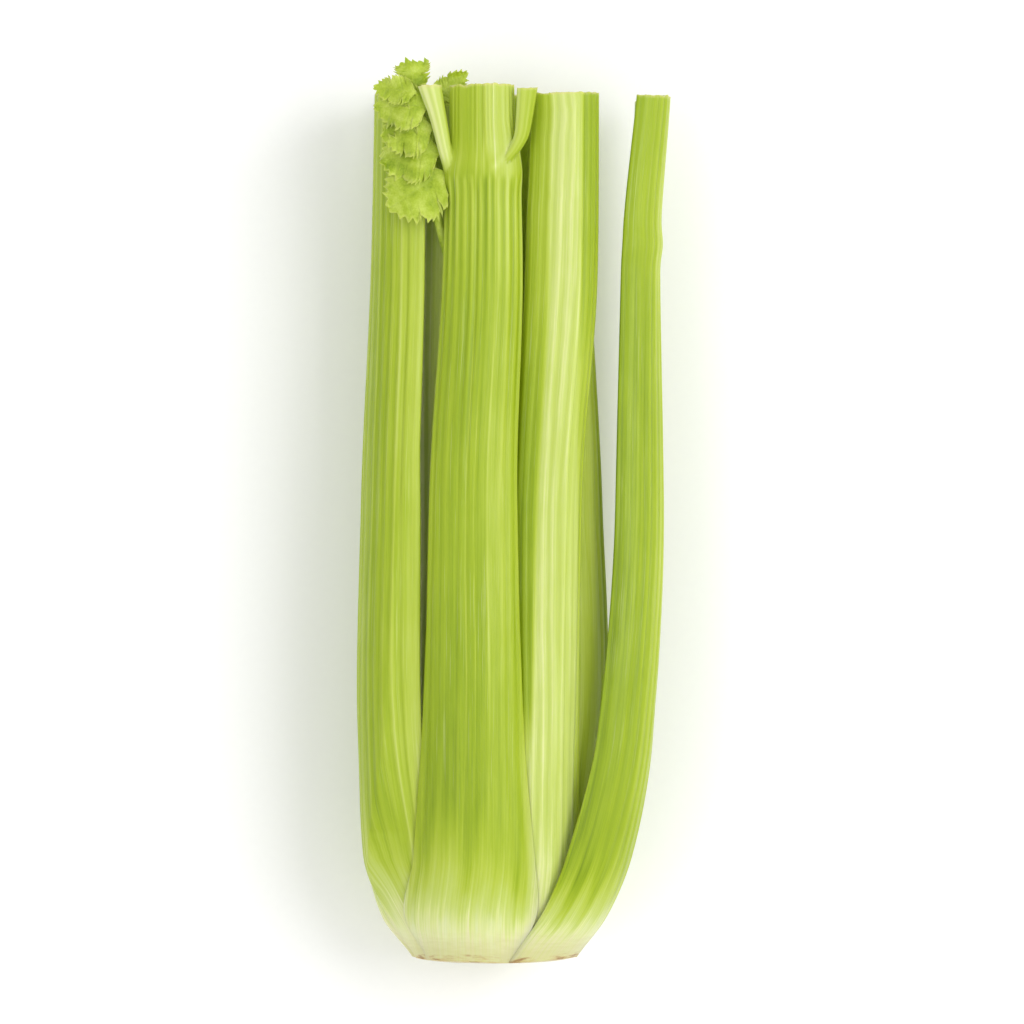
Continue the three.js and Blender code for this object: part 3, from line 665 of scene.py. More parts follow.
def blade_mesh(leaflet, seed):
    """A toothed leaflet, puffed up between its veins and waved along its edge: points in
    millimetres along the head, faces, and for each point how far it is into a vein and
    towards the edge."""
    root, heading, (length, width), rise, _ = leaflet
    length, width = length * BLADE_GROWTH[0], width * BLADE_GROWTH[1]
    a = math.radians(heading)
    blunt = rise < -1 and heading > 90
    root = (root[0] - 0.07 * length * math.cos(a), root[1] - 0.07 * length * math.sin(a))
    along = np.linspace(0, 1, BLADE_ROWS)
    rib = np.clip(along - 0.13 * np.sin(np.pi * along), 0, 1)
    grid = []
    for half in np.linspace(-1, 1, 2 * BLADE_COLUMNS + 1):
        b = abs(half)
        own = seed + (50 if half < 0 else 0)
        across, tooth = blade_edge(along, own, BLUNT_FAN if blunt else FAN)
        u = rib + (along + 0.05 * tooth * smooth(0.85, 1, b) - rib) * b
        if blunt:
            stagger = 0.2 * (2.7 * half % 1) * (0.6 + 0.4 * math.sin(5 * half)) - 0.1 * b
            u = u + stagger * smooth(0.84, 1, along)
        v = across * half
        near = np.min([np.abs(along - at) for at in LOBES], axis=0)
        vein = bell(near * (0.5 + b), 0, 0.022) * smooth(0.02, 0.12, b) * smooth(1.0, 0.7, b)
        vein = np.maximum(vein, 1 - smooth(0.0, 0.07, b))
        rough = waves(own + 3, 4, 7, 17)
        ruffle = 1.05 * b * b * rough(along) + 0.6 * b * waves(own + 4, 3, 3, 8)(along + 0.3 * half)
        x = root[0] + length * u * math.cos(a) - width * v * math.sin(a)
        y = root[1] + length * u * math.sin(a) + width * v * math.cos(a)
        wave = 0.5 * np.sin(9 * u + 4 * v) * np.abs(v)
        z = (sheet(x) + rise + ROLL * (root[1] - y) + FOLD * width * np.abs(v) + wave - 0.8 * u * u
             + (ruffle - 0.22 * vein + 0.1) * smooth(0, 0.3, u))
        grid.append(np.stack([x, y, z, vein, np.full(len(u), b)], 1))
    flat = np.concatenate(grid)
    rows, columns = BLADE_ROWS, len(grid)
    index = np.arange(rows * columns).reshape(columns, rows)
    p, q = index[:-1, :-1].ravel(), index[:-1, 1:].ravel()
    r, s = index[1:, 1:].ravel(), index[1:, :-1].ravel()
    top = np.concatenate([np.stack([p, q, s], 1), np.stack([q, r, s], 1)])
    count = rows * columns
    edge = np.array([*index[0, :], *index[1:, -1], *index[-1, -2::-1], *index[-2:0:-1, 0]])
    after = np.roll(edge, -1)
    wall = np.concatenate([np.stack([after, edge, edge + count], 1),
                           np.stack([after, edge + count, after + count], 1)])
    faces = np.concatenate([top, top[:, ::-1] + count, wall]).tolist()
    up = (0, 0, BLADE_THICKNESS / 2)
    points = np.concatenate([flat[:, :3] + up, flat[:, :3] - up])
    middle = flat[rows * BLADE_COLUMNS + int(0.1 * rows), :3]
    return points, faces, np.tile(flat[:, 3], 2), np.tile(flat[:, 4], 2), middle


def joined(name, bodies):
    """One closed mesh out of bodies that grow into one another. Every point keeps, or takes
    from the nearest point that there was, its place in the patterns."""
    pool = bpy.data.collections.new(name + "_bodies")
    bpy.context.scene.collection.children.link(pool)
    first, others = bodies[0], bodies[1:]
    for obj in others:
        bpy.context.scene.collection.objects.unlink(obj)
        pool.objects.link(obj)
    cut = first.modifiers.new("join", "BOOLEAN")
    cut.operation = "UNION"
    cut.operand_type = "COLLECTION"
    cut.collection = pool
    cut.solver = "MANIFOLD"
    shape = first.evaluated_get(bpy.context.evaluated_depsgraph_get())
    mesh = bpy.data.meshes.new_from_object(shape)
    tree = tree_of([vertex.co for obj in bodies for vertex in obj.data.vertices])
    nearest = np.array([tree.find(v.co)[1] for v in mesh.vertices])
    own = [a.name for a in first.data.attributes
           if a.data_type in ("FLOAT", "FLOAT_VECTOR") and a.name != "position"]
    for key in own:
        source = first.data.attributes[key]
        flat = source.data_type == "FLOAT"
        kept = []
        for obj in bodies:
            values = np.zeros(len(obj.data.vertices) * (1 if flat else 3), np.float32)
            obj.data.attributes[key].data.foreach_get("value" if flat else "vector", values)
            kept.append(values)
        kept = np.concatenate(kept).reshape(-1, 1 if flat else 3)
        layer = mesh.attributes.get(key) or mesh.attributes.new(key, source.data_type, "POINT")
        layer.data.foreach_set("value" if flat else "vector", kept[nearest].ravel())
    for obj in others:
        bpy.data.objects.remove(obj)
    bpy.data.collections.remove(pool)
    bpy.data.objects.remove(first)
    mesh.name = name
    return add_to_scene(bpy.data.objects.new(name, mesh))


def ease(mesh, close_to, reach, turns):
    """Rounds a mesh where it passes near the given points."""
    tree = tree_of(close_to)
    co = np.zeros(3 * len(mesh.vertices), np.float32)
    mesh.vertices.foreach_get("co", co)
    co = co.reshape(-1, 3).astype(float)
    away = np.array([tree.find(p)[2] for p in co])
    share = 0.55 * np.exp(-((away / reach) ** 2))[:, None]
    ends = ends_of(mesh)
    many = np.bincount(ends.ravel(), minlength=len(co))[:, None]
    for _ in range(turns):
        total = np.zeros_like(co)
        np.add.at(total, ends[:, 0], co[ends[:, 1]])
        np.add.at(total, ends[:, 1], co[ends[:, 0]])
        co += share * (total / np.maximum(many, 1) - co)
    mesh.vertices.foreach_set("co", co.astype(np.float32).ravel())
    mesh.update()


# ------------------------------------------------------------------ how green each place is
# Greenness of a stalk; how much greener it grows towards its s = 1 margin, which is painted shade
# on its side away from the key lamp; and pale stripes that run along it, some of them the skin's
# own and some painted highlights and painted reflections: place across, half-width across, and
# how much green each one takes away.
GREEN = {
    # In the front middle stalk, the first three thin pale lines are its pale ribs with painted highlights
    # along them.
    "stalk_front_middle": (0.72, 0.03, [(0.12, 0.012, 0.34), (-0.04, 0.009, 0.26), (-0.29, 0.016, 0.30),
                                        (-0.60, 0.13, 0.09), (0.52, 0.03, 0.10), (0.66, 0.16, -0.04),
                                        (0.31, 0.13, -0.06), (-0.13, 0.05, -0.08), (-0.82, 0.06, -0.06)]),
    "stalk_front_pale": (0.31, 0.0, [(-0.32, 0.03, 0.06), (0.06, 0.05, 0.05), (-0.6, 0.06, 0.05)]),
    # On the left stalk, the thin line at -0.5 is a rib with a painted highlight along it, and the broad
    # pale band at -0.86 is a painted reflection.
    "stalk_left": (0.68, 0.04, [(-0.5, 0.03, 0.28), (-0.86, 0.13, 0.26), (0.09, 0.02, 0.16),
                                (-0.3, 0.05, 0.06)]),
    # On the right stalk, the broad pale band at -0.35 is a painted reflection along its right side.
    "stalk_right": (0.80, 0.10, [(-0.35, 0.34, 0.24), (0.3, 0.03, 0.1), (-0.75, 0.06, 0.1),
                                 (0.66, 0.03, 0.07)]),
    "stalk_back_left": (0.68, 0.0, [(0.3, 0.04, 0.14), (-0.5, 0.2, 0.1)]),
    "stalk_under_right": (0.66, -0.04, [(0.1, 0.05, 0.12), (0.6, 0.15, 0.1)]),
    "stalk_under_left": (0.70, 0.03, [(-0.2, 0.04, 0.14), (0.4, 0.2, 0.1)]),
    "stalk_back_right": (0.68, 0.05, [(0.2, 0.04, 0.12), (-0.4, 0.2, 0.1)]),
    "stalk_under_middle": (0.64, 0.0, [(0.3, 0.05, 0.12), (-0.4, 0.1, 0.1)]),
    "inner_stalk_right": (0.52, 0.0, [(0.3, 0.2, 0.06)]),
}
# The greenness of the stalks that have no side shade and no stripes.
PLAIN_GREEN = {
    # Painted light: inner_stalk_left is made paler, since it shows only in the shaded gap between the left
    # and middle stalks.
    "inner_stalk_left": 0.2, "inner_stalk_front": 0.62, "inner_stalk_back_right": 0.50,
    "inner_stalk_under": 0.44, "inner_stalk_back_left": 0.50,
    "heart_stalk_left": 0.26, "heart_stalk_right": 0.24, "heart_stalk_under": 0.20,
}
GREEN.update({name: (base, 0.0, []) for name, base in PLAIN_GREEN.items()})
# Where across the pale stalk its two greener flanks begin, by height: painted shade, on the flank tucked
# under the middle stalk and on the flank turned away to the right.
PALE_STALK_SHADED_FLANK = ((34, 69, 111, 228, 260, 285), (0.45, 0.38, 0.27, 0.27, 0.33, 0.34))
PALE_STALK_FAR_SHADED_FLANK = ((69, 111, 240, 285), (-0.85, -0.82, -0.29, -0.28))


def greenness(name, s, h, inside):
    """How green each place is, 0 to 1, with painted shade and painted highlights worked into it. inside is
    above 0 on the inner face.
    """
    base, side_shade, stripes_and_highlights = GREEN[name]
    seed = SEED[name]
    across, slow, drift = waves(seed, 4, 2, 7), waves(seed + 40, 4, 6, 15), waves(seed + 80, 3, 0.01, 0.04)
    ribs = rib_phase(name, s)
    each = waves(seed + 120, 5, 0.7, 2.4)(ribs)
    crest = (0.5 + 0.5 * np.cos(2 * np.pi * ribs)) ** 2
    green = base + side_shade * s + 0.05 * across(s) + 0.03 * drift(h)
    for at, half, less in stripes_and_highlights:
        wander = at + 0.012 * drift(h * 1.7 + 9 * at)
        green = green - less * bell(s, wander, half) * (0.8 + 0.2 * drift(h * 2.3 + at)) * smooth(20, 60, h)
    grown = smooth(6, 44, h) * np.clip(rib_strength(name, 150)(s), 0, 1)
    if name == BRANCH_OWNER:
        grown = grown * (1 + 1.5 * smooth(205, 246, h)) * (1 - 0.85 * smooth(252.5, 256, h))
    deep = 0.07 if name != BRANCH_OWNER else 0.035 + 0.095 * smooth(160, 225, h)
    green = green - grown * ((deep + 0.04 * each) * (crest - 0.35) - 0.05 * each)
    # Painted shade: the pale stalk is greener and darker on its flank under the middle stalk and on its far
    # right flank.
    if name == "stalk_front_pale":
        shade_from = curve(*PALE_STALK_SHADED_FLANK, h)
        side = 0.55 - 0.22 * smooth(150, 240, h)
        green = green + side * smooth(shade_from - 0.05, shade_from + 0.09, s) * smooth(56, 90, h)
        far = curve(*PALE_STALK_FAR_SHADED_FLANK, h)
        green = green + (0.24 + 0.22 * smooth(180, 240, h)) * smooth(far + 0.06, far - 0.12, s)
    if name == BRANCH_OWNER:
        above = smooth(258, 266, h)
        green = green - 0.13 * smooth(190, 245, h)
        # Painted light above the node: the broad paler streak right of the middle is a painted highlight,
        # the right half is painted lighter, and the greener seam down the middle is painted shade in its
        # groove.
        green = green - above * (0.05 + 0.06 * smooth(0.06, -0.04, s) + 0.17 * bell(s, -0.17, 0.15))
        green = green + above * 0.16 * bell(s, -0.01, 0.05) - 0.12 * bell(h, 259.5, 4.5)
        green = green - 0.15 * stub_ridge(s, h)
        green = green - 0.3 * smooth(-0.74, -1.0, s) * (1 - smooth(45, 85, h))
    reach = 50 + 11 * across(s * 1.7 + 3) + 9 * slow(s)
    if name == "stalk_right":
        green = green - 0.13 * smooth(205, 250, h)
        reach = reach - 16
    if name == BRANCH_OWNER:
        reach = reach - 14 * bell(s, 0.06, 0.12) - 20 * bell(s, -0.66, 0.14) + 12 * bell(s, -0.98, 0.16)
        reach = reach + 14 * bell(s, 0.46, 0.22) - 15 * bell(s, -0.3, 0.09)
    rise = smooth(0, 1, (h - 4) / reach) ** 0.8
    green = green * (0.06 + 0.94 * rise)
    return np.clip(np.where(inside > 0, green * 0.62 + 0.02, green), 0, 1)


# ------------------------------------------------------------------ materials
def linear(*rgb):
    """A colour in linear values, from sRGB values of 0 to 255."""
    return tuple(((c / 255 + 0.055) / 1.055) ** 2.4 if c > 10 else c / 255 / 12.92 for c in rgb) + (1.0,)


class Nodes:
    """Short calls for building one material's nodes."""

    def __init__(self, name):
        self.material = bpy.data.materials.new(name)
        self.material.use_nodes = True
        self.tree = self.material.node_tree
        self.shader = self.tree.nodes["Principled BSDF"]

    def new(self, kind):
        return self.tree.nodes.new("ShaderNode" + kind)

    def give(self, node, values):
        for key, value in values.items():
            node.inputs[key].default_value = value

    def link(self, source, target):
        self.tree.links.new(source, target)

    def feed(self, socket, value):
        if isinstance(value, bpy.types.NodeSocket):
            self.link(value, socket)
        else:
            socket.default_value = value

    def attribute(self, name, part="Fac"):
        node = self.new("Attribute")
        node.attribute_name = name
        return node.outputs[part]

    def math(self, operation, a, b):
        node = self.new("Math")
        node.operation = operation
        self.feed(node.inputs[0], a)
        self.feed(node.inputs[1], b)
        return node.outputs[0]

    def times(self, a, b):
        return self.math("MULTIPLY", a, b)

    def plus(self, a, b):
        return self.math("ADD", a, b)

    def minus(self, a, b):
        return self.math("SUBTRACT", a, b)

    def scaled(self, vector, by):
        node = self.new("VectorMath")
        node.operation = "MULTIPLY"
        self.link(vector, node.inputs[0])
        node.inputs[1].default_value = by
        return node.outputs[0]

    def noise(self, vector, scale=1.0, detail=2.0, rough=0.5):
        node = self.new("TexNoise")
        self.link(vector, node.inputs["Vector"])
        self.give(node, {"Scale": scale, "Detail": detail, "Roughness": rough})
        return node.outputs["Fac"]

    def span(self, value, low, high, to_low=0.0, to_high=1.0):
        node = self.new("MapRange")
        node.interpolation_type = "SMOOTHSTEP"
        self.feed(node.inputs["Value"], value)
        self.give(node, {"From Min": low, "From Max": high, "To Min": to_low, "To Max": to_high})
        return node.outputs["Result"]

    def ramp(self, value, stops):
        node = self.new("ValToRGB")
        ramp = node.color_ramp
        while len(ramp.elements) < len(stops):
            ramp.elements.new(0.5)
        for element, (at, colour) in zip(ramp.elements, stops):
            element.position = at
            element.color = linear(*colour)
        self.feed(node.inputs["Fac"], value)
        return node.outputs["Color"]

    def mix(self, share, a, b):
        node = self.new("Mix")
        node.data_type = "RGBA"
        self.feed(node.inputs["Factor"], share)
        self.feed(node.inputs[6], a)
        self.feed(node.inputs[7], linear(*b))
        return node.outputs[2]

    def bump(self, height, distance, strength=1.0):
        node = self.new("Bump")
        self.give(node, {"Strength": strength, "Distance": distance})
        self.link(height, node.inputs["Height"])
        self.link(node.outputs["Normal"], self.shader.inputs["Normal"])

    def paint(self, colour):
        self.link(colour, self.shader.inputs["Base Color"])

    def object_place(self):
        return self.new("TexCoord").outputs["Object"]

    def flesh(self, roughness, depth, share):
        """Light goes into it: red and green by depth, in metres, and blue by less."""
        self.feed(self.shader.inputs["Roughness"], roughness)
        self.give(self.shader, {"Specular IOR Level": 0.3, "Subsurface Weight": share,
                                "Subsurface Radius": (1.0, 1.0, 0.35), "Subsurface Scale": depth})


# Colours are red, green and blue, 0 to 255. GREENS goes from the cream base to deep green.
GREENS = [(0.0, (224, 223, 174)), (0.12, (214, 221, 148)), (0.27, (190, 205, 104)),
          (0.48, (176, 193, 66)), (0.66, (158, 179, 34)), (0.84, (138, 162, 14)),
          (1.0, (112, 136, 4))]
TAN = (196, 172, 118)
BROWN = (150, 112, 66)


def skin_material():
    """The ribbed skin of the stalks. It reads how green each place is, its height, how far
    below the cut top it is, and flow: place across and place along, in millimetres and apart
    for each stalk, and 100 on the inner face."""
    n = Nodes("celery_skin")
    flow = n.attribute("flow", "Vector")
    broad, fibres, bands, threads, blotch = (
        n.noise(n.scaled(flow, (across, along, 1.0)), 1.0, detail, rough)
        for across, along, detail, rough in (
            (0.42, 0.006, 3.0, 0.55), (1.9, 0.022, 3.0, 0.6), (1.05, 0.012, 2.0, 0.5),
            (6.5, 0.05, 2.0, 0.6), (0.16, 0.05, 3.0, 0.55)))
    green = n.attribute("green")
    high = n.attribute("high")
    vivid = n.times(n.span(green, 0.1, 0.5, 0.8, 1.0), n.span(high, 250.0, 260.0, 1.0, 0.55))
    for pattern, weight in ((broad, 0.22), (bands, 0.26), (fibres, 0.38), (threads, 0.16), (blotch, 0.14)):
        part = n.times(n.minus(pattern, 0.5), n.times(vivid, weight))
        green = n.plus(green, part)
    patches = n.plus(n.times(broad, 0.7), n.times(blotch, 0.3))
    root_streaks = n.times(n.span(high, 46.0, 18.0), n.minus(patches, 0.5))
    green = n.plus(green, n.times(root_streaks, 0.6))
    colour = n.ramp(green, GREENS)
    # Thin pale lines along the skin: partly its own fibres and partly painted highlights on them.
    fibre_lines_and_highlights = n.times(n.span(fibres, 0.57, 0.68), n.span(high, 30.0, 70.0, 0.0, 0.24))
    fibre_lines_and_highlights = n.times(fibre_lines_and_highlights, vivid)
    colour = n.mix(fibre_lines_and_highlights, colour, (224, 234, 150))
    white = n.times(n.span(high, 26.0, 9.0), n.span(n.plus(broad, blotch), 0.95, 1.3))
    colour = n.mix(n.times(white, 0.5), colour, (240, 240, 210))
    layers = n.noise(n.scaled(flow, (0.13, 0.8, 1.0)), 1.0, 3.0, 0.6)
    ragged = n.plus(high, n.times(n.minus(layers, 0.5), 8.0))
    stain = n.times(n.span(ragged, 1.8, -0.4), n.span(blotch, 0.3, 0.55))
    colour = n.mix(n.span(ragged, 11.0, 0.0, 0.0, 0.6), colour, (196, 192, 128))
    colour = n.mix(n.times(stain, 0.85), colour, TAN)
    knots = n.times(n.span(ragged, 1.3, -0.8), n.span(layers, 0.47, 0.4))
    colour = n.mix(n.times(knots, 0.8), colour, BROWN)
    rim = n.plus(n.attribute("to_top"), n.times(n.minus(layers, 0.5), 1.6))
    dried = n.times(n.span(rim, 1.1, 0.0), n.span(fibres, 0.35, 0.65, 0.25, 0.7))
    colour = n.mix(dried, colour, (208, 198, 136))
    n.paint(colour)
    mottle = n.plus(n.times(fibres, 0.6), n.times(blotch, 0.4))
    n.flesh(n.span(mottle, 0.3, 0.7, 0.30, 0.46), 0.0035, 0.35)
    relief = n.plus(n.times(fibres, 0.7), n.times(threads, 0.3))
    n.bump(relief, 0.0002, 0.9)
    return n.material


def cut_material():
    """The cut tops: wet pale flesh in a green skin, and a strand under each rib."""
    n = Nodes("celery_cut_flesh")
    cell = n.noise(n.object_place(), 2600.0, 2.0, 0.6)
    soft = n.noise(n.object_place(), 320.0, 3.0, 0.55)
    depth = n.attribute("depth")
    colour = n.ramp(n.plus(depth, n.times(n.minus(soft, 0.5), 0.25)),
                    [(0.0, (168, 190, 74)), (0.09, (202, 215, 122)), (0.4, (226, 234, 176)),
                     (0.85, (220, 229, 160)), (1.0, (196, 212, 120))])
    strand = n.attribute("strand")
    colour = n.mix(n.span(strand, 0.35, 0.8), colour, (176, 186, 92))
    colour = n.mix(n.times(n.span(cell, 0.55, 0.75), 0.3), colour, (240, 244, 214))
    n.paint(colour)
    n.flesh(n.span(cell, 0.3, 0.7, 0.25, 0.42), 0.003, 0.45)
    pitted = n.plus(cell, n.times(soft, 0.8))
    n.bump(n.minus(pitted, n.times(strand, 0.4)), 0.00025, 0.7)
    return n.material


def root_material():
    """The cut root end and the core: cream flesh drying to tan, with browned patches."""
    n = Nodes("celery_root_flesh")
    place = n.object_place()
    soft, cell = n.noise(place, 90.0, 4.0, 0.6), n.noise(place, 1500.0, 3.0, 0.6)
    patch = n.noise(place, 210.0, 3.0, 0.6)
    colour = n.ramp(soft, [(0.3, (232, 222, 184)), (0.5, (222, 206, 160)), (0.66, (204, 180, 126))])
    colour = n.mix(n.times(n.span(patch, 0.56, 0.7), 0.6), colour, BROWN)
    strand = n.span(n.attribute("strand"), 0.4, 0.9)
    colour = n.mix(n.times(strand, 0.22), colour, (170, 142, 86))
    n.paint(colour)
    n.flesh(n.span(cell, 0.3, 0.7, 0.5, 0.72), 0.002, 0.25)
    n.bump(n.plus(cell, n.times(patch, 1.2)), 0.0003, 0.8)
    return n.material


def leaf_material():
    """Leaflets: bright green in soft patches of painted shade and painted highlight, paler along the veins,
    and paler and yellower at the edges, a painted highlight on the rims.
    """
    n = Nodes("celery_leaf")
    place = n.object_place()
    soft, fine = n.noise(place, 160.0, 3.0, 0.55), n.noise(place, 1700.0, 3.0, 0.6)
    # Soft patches of tone, partly the leaf's own: the darkest stand for painted shade and the palest for
    # painted highlight.
    tone_shade_and_highlight = n.plus(n.times(soft, 0.75), n.times(fine, 0.25))
    colour = n.ramp(tone_shade_and_highlight, [(0.34, (128, 154, 22)), (0.5, (164, 185, 50)), (0.66, (192, 208, 92))])
    colour = n.mix(n.times(n.attribute("vein"), 0.14), colour, (196, 212, 104))
    # Painted highlight: the leaflets are paler and yellower towards their edges.
    colour = n.mix(n.span(n.attribute("rim"), 0.8, 1.0, 0.0, 0.45), colour, (206, 214, 112))
    n.paint(colour)
    n.flesh(n.span(fine, 0.3, 0.7, 0.42, 0.58), 0.0014, 0.3)
    n.bump(n.plus(fine, n.times(soft, 0.8)), 0.00022, 0.6)
    return n.material


def sprig_stem_material():
    """The thin stems of the sprig: pale green, streaked along the head."""
    n = Nodes("celery_thin_stem")
    streak = n.noise(n.scaled(n.object_place(), (2600.0, 60.0, 1200.0)), 1.0, 2.0, 0.5)
    colour = n.ramp(streak, [(0.3, (150, 172, 44)), (0.7, (186, 203, 86))])
    n.paint(colour)
    n.flesh(0.42, 0.0014, 0.3)
    return n.material


SKIN, CUT, ROOT = skin_material(), cut_material(), root_material()
LEAF, THIN_STEM = leaf_material(), sprig_stem_material()


# ------------------------------------------------------------------ the pieces
def core_heights():
    """Slices that the root core is drawn through."""
    return sorted({*(float(h) for h, _ in CORE), 1.0, 2.0, 4.5, 7.2, 8.0, 8.9, 10.5, 11.5})


def draw_all():
    """Every stalk's slices, and the core's, from the outermost inwards."""
    wanted = {name: set(heights_of(name)) for name in STALKS}
    every = sorted(set().union(*wanted.values(), core_heights()))
    drawn = {name: [] for name in STALKS}
    core = []
    for h in every:
        taken = np.full(STEPS, np.inf)
        for name, (_, _, bottom, top, *_) in STALKS.items():
            if not bottom <= h <= top:
                continue
            room = soften(taken, h)
            outer, inner = section(name, h, room)
            tighten(taken, ring_of(outer, inner), h)
            if name in WAIST:
                tighten(taken, ring_of(*section(name, h, room, True)), h)
            for branch in BRANCHES if name == BRANCH_OWNER else ():
                if branch[1][0][0] <= h <= branch[1][-1][0] + 2:
                    tighten(taken, branch_ring(branch, h), h)
            if h in wanted[name]:
                drawn[name].append((h, outer, inner))
        if h in core_heights():
            room = soften(taken, h)
            reach = np.minimum(room[::STEPS // CORE_POINTS] - 0.2, curve(*zip(*CORE), h))
            a = AROUND[::STEPS // CORE_POINTS]
            core.append((h, axis_at(h) + reach[:, None] * np.stack([np.cos(a), np.sin(a)], 1)))
    return drawn, core


def finish_piece(piece, node, materials):
    """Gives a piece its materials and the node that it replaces."""
    # This also sets every face back to the first material, so CUT and THIN_STEM show nowhere
    # and ROOT shows on the core alone. It is a known fault.
    piece.data.materials.clear()
    for material in materials:
        piece.data.materials.append(material)
    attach(piece, "root")
    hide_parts(node)


def branch_piece(branch, number):
    """One cut leaf stalk, with the same point attributes as a stalk."""
    rows = branch[1]
    low, top = rows[0][0], rows[-1][0]
    heights = [*np.arange(low, top - 0.3, 0.75), top]
    flat = [branch_ring(branch, h) for h in heights]
    uneven = cut_top(61 + number)
    rings = []
    for h, ring in zip(heights, flat):
        lift = uneven(ring[:, 0], ring[:, 1]) if h == top else 0
        rings.append(np.stack([ring[:, 0], h + lift + 0 * ring[:, 0], ring[:, 1]], 1))
    points, faces, sorts, depth = tube(rings, 6)
    x, y, z = points.T
    a = np.arange(len(points)) % BRANCH_POINTS * 2 * math.pi / BRANCH_POINTS
    crest = np.cos(9 * a) * 0.5 + 0.5
    # Painted light and shade: each stub is paler on the side where the light catches it and greener on its
    # shaded side; the crest term makes its ribs paler.
    pale = 0.42 + 0.22 * np.cos(a - (2.3 if number else 0.6)) - 0.1 * crest
    green = 0.66 + (pale - 0.66) * smooth(251, 262, y)
    count = BRANCH_POINTS * len(heights)
    flesh = np.arange(len(points)) >= count
    strand = np.where(flesh, crest * bell(depth, 0.3, 0.1), 0)
    sharp = np.zeros(len(points), bool)
    sharp[count - BRANCH_POINTS:count] = True
    return mesh_from(f"branch_{number}", in_frame(x, y, z), [f[::-1] for f in faces],
                     [0 if s == 0 else 1 for s in sorts],
                     {"green": green, "high": y, "to_top": top - y, "depth": depth * 0.5, "strand": strand,
                      "flow": np.stack([a * 2.4 + 900 * (number + 1), y, 0 * y], 1)}, sharp)


def draw_stalk(name, slices):
    """One stalk with its cut ends, and with the branches that grow on it."""
    points, faces, slots, high, across, depth, sharp = stalk_mesh(name, slices, SEED[name])
    half = curve(KEY_HEIGHTS, STALKS[name][7], high)
    inside = (depth > 0.5).astype(float)
    phase = rib_phase(name, across)
    strand = bell(phase - np.round(phase), 0, 0.2) * bell(depth, 0.2, 0.07)
    slots = [s if s == 0 else (2 if high[f[0]] < ROOT_END else 1) for s, f in zip(slots, faces)]
    piece = mesh_from(name + "_fine", points, faces, slots, {
        "green": greenness(name, across, high, inside),
        "high": high, "to_top": STALKS[name][3] - high, "depth": depth, "strand": strand,
        "flow": np.stack([across * half + 200 * SEED[name], high, inside * 100], 1)}, sharp)
    if name == BRANCH_OWNER:
        branches = [branch_piece(branch, number) for number, branch in enumerate(BRANCHES)]
        skin = tree_of(points)
        meeting = [v.co.copy() for branch in branches for v in branch.data.vertices
                   if skin.find(v.co)[2] < CREASE_WITHIN * MM]
        piece.name = "plain"
        piece = joined(name + "_fine", [piece, *branches])
        ease(piece.data, meeting, CREASE_REACH * MM, CREASE_TURNS)
    finish_piece(piece, name, (SKIN, CUT, ROOT))


def draw_core(slices):
    """The root core, with low rings and bumps on its cut face."""
    rings = [np.stack([ring[:, 0], np.full(len(ring), h), ring[:, 1]], 1) for h, ring in slices]
    points, faces, sorts, depth = tube(rings, 14)
    x, y, z = points.T
    bumps = waves(71, 4, 0.25, 0.6)(x + 0.4 * z) * waves(72, 4, 0.25, 0.6)(z - 0.3 * x)
    away = np.hypot(x - axis_at(0)[0], z - axis_at(0)[1])
    end = (y < 0.5) * smooth(0, 0.15, depth)
    y = y + end * (0.45 * np.abs(bumps) + 0.25 * np.abs(np.sin(away * 0.9)))
    strand = bell(np.abs(np.sin(away * 0.9 + 0.8 * bumps)), 0, 0.35)
    sharp = np.zeros(len(points), bool)
    sharp[:CORE_POINTS] = True
    piece = mesh_from("root_core_fine", in_frame(x, y, z), [f[::-1] for f in faces], [0] * len(faces),
                      {"strand": strand}, sharp)
    finish_piece(piece, "root_core", (ROOT,))


def sprig_body(name, points, faces, slot, vein, rim):
    """One closed body of the sprig. Its points are in millimetres along the head."""
    x, y, z = np.asarray(points, float).T
    place = np.stack([x - CENTRE_X, y - CENTRE_Y, z], 1) * MM
    return mesh_from(name, place, faces, [slot] * len(faces), {"vein": vein, "rim": rim},
                     np.zeros(len(place), bool))


def stem_body(name, way, sides):
    """A round stem of the sprig through places (x, y, z and radius)."""
    points, faces, _, _ = tube(rod(way, sides), 3)
    blank = np.zeros(len(points))
    return sprig_body(name, points, faces, 1, blank, blank)


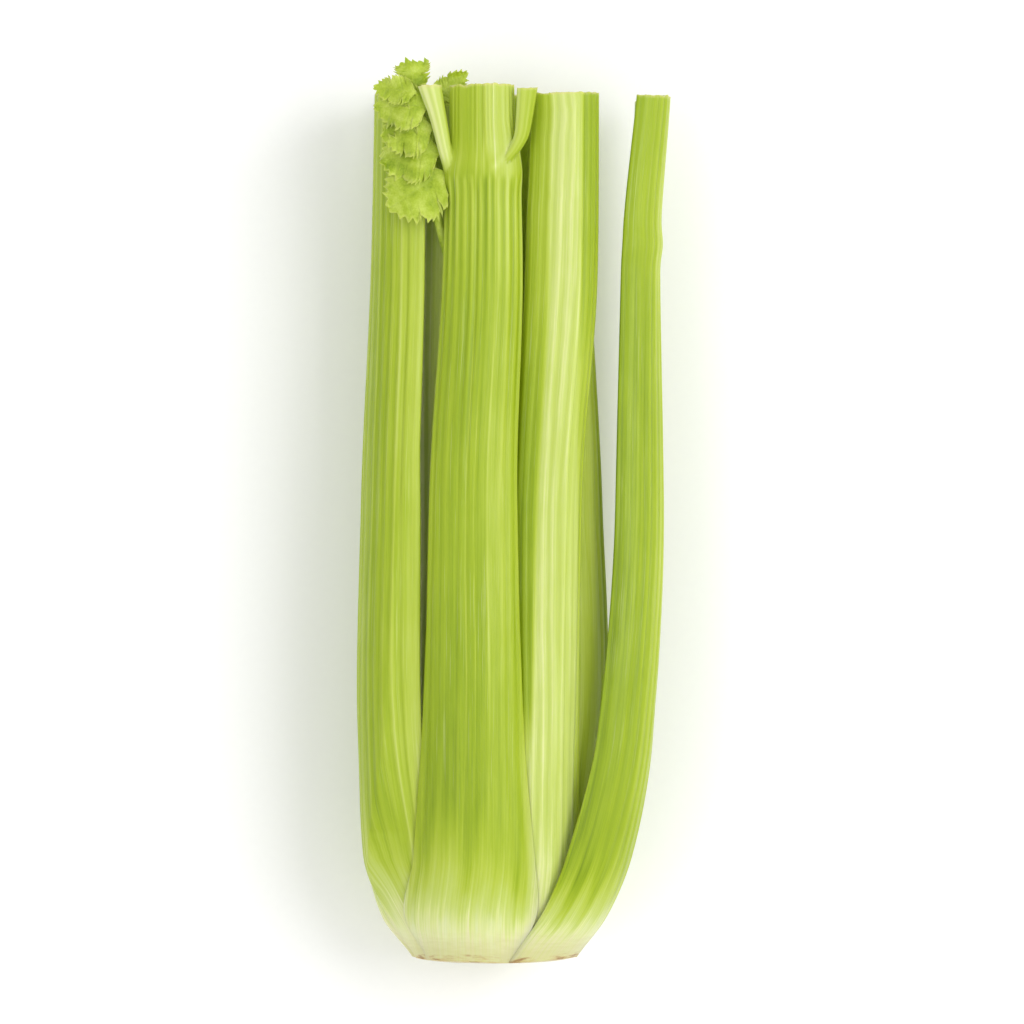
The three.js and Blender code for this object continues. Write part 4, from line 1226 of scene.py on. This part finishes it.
def draw_sprig():
    """The thin stem, the leaflets and their stalks, joined into one piece."""
    heights = [*np.arange(15, 278, 3.0), 280.0]
    x, z, r = (column(STEM, 1, n, heights) for n in (0, 2, 3))
    bodies = []
    for number, leaflet in enumerate(LEAFLETS):
        points, faces, vein, rim, base = blade_mesh(leaflet, 81 + number)
        bodies.append(sprig_body(f"leaflet_{number}", points, faces, 0, vein, rim))
        start = leaflet[4]
        sx, sz, sr = (float(column(STEM, 1, n, start)) for n in (0, 2, 3))
        first, last = np.array([sx, start, sz, min(0.75, sr)]), np.array([*base, 0.5])
        way = [first + (last - first) * f for f in np.linspace(0, 1, 6)]
        bodies.append(stem_body(f"leaf_stalk_{number}", way, 14))
    bodies.insert(0, stem_body("thin_stem", np.stack([x, heights, z, r], 1), 20))
    finish_piece(joined("leaf_sprig_fine", bodies), "leaf_sprig", (LEAF, THIN_STEM))


STALK_SLICES, CORE_SLICES = draw_all()
for name in STALKS:
    draw_stalk(name, STALK_SLICES[name])
draw_core(CORE_SLICES)
draw_sprig()

# ------------------------------------------------------------------ floor, light and camera
# Each lamp's name, place, size in metres and power in watts.
LAMPS = (("key", (0.95, 0.25, 1.35), 1.0, 13.2), ("fill", (-0.9, -0.3, 1.5), 1.2, 5.0))
# How wide the picture is at the height where the head is widest, and that height.
PICTURE_WIDTH, WIDEST_AT = 330.9, 58


def floor_and_light():
    """A white floor, even light from all round and two square lamps."""
    bpy.ops.mesh.primitive_plane_add(size=6, location=(0, 0, 0))
    floor = bpy.context.object
    floor.name = "floor"
    n = Nodes("floor_paint")
    grain = n.noise(n.object_place(), 400.0, 2.0)
    colour = n.ramp(grain, [(0.3, (253, 253, 253)), (0.7, (254, 254, 254))])
    n.paint(colour)
    n.give(n.shader, {"Roughness": 0.9, "Specular IOR Level": 0.2})
    floor.data.materials.append(n.material)
    world = bpy.data.worlds.new("studio")
    world.use_nodes = True
    n.give(world.node_tree.nodes["Background"], {"Color": (1, 1, 1, 1), "Strength": 0.80})
    bpy.context.scene.world = world
    for name, place, size, power in LAMPS:
        lamp = bpy.data.lights.new(name, "AREA")
        lamp.shape = "SQUARE"
        lamp.size = size
        lamp.energy = power
        obj = bpy.data.objects.new(name, lamp)
        obj.location = place
        obj.rotation_mode = "QUATERNION"
        obj.rotation_quaternion = (-Vector(place)).to_track_quat("-Z", "Y")
        add_to_scene(obj)
    bpy.context.scene.view_settings.view_transform = "Standard"


def set_camera():
    """Straight down on the head, the cut tops at the top of the picture."""
    data = bpy.data.cameras.new("camera")
    data.sensor_width = 36
    data.lens = 340
    height = WIDEST_AT + PICTURE_WIDTH * data.lens / data.sensor_width
    camera = bpy.data.objects.new("camera", data)
    camera.location = (-0.35 * MM, -0.24 * MM, height * MM)
    bpy.context.scene.camera = add_to_scene(camera)


floor_and_light()
set_camera()
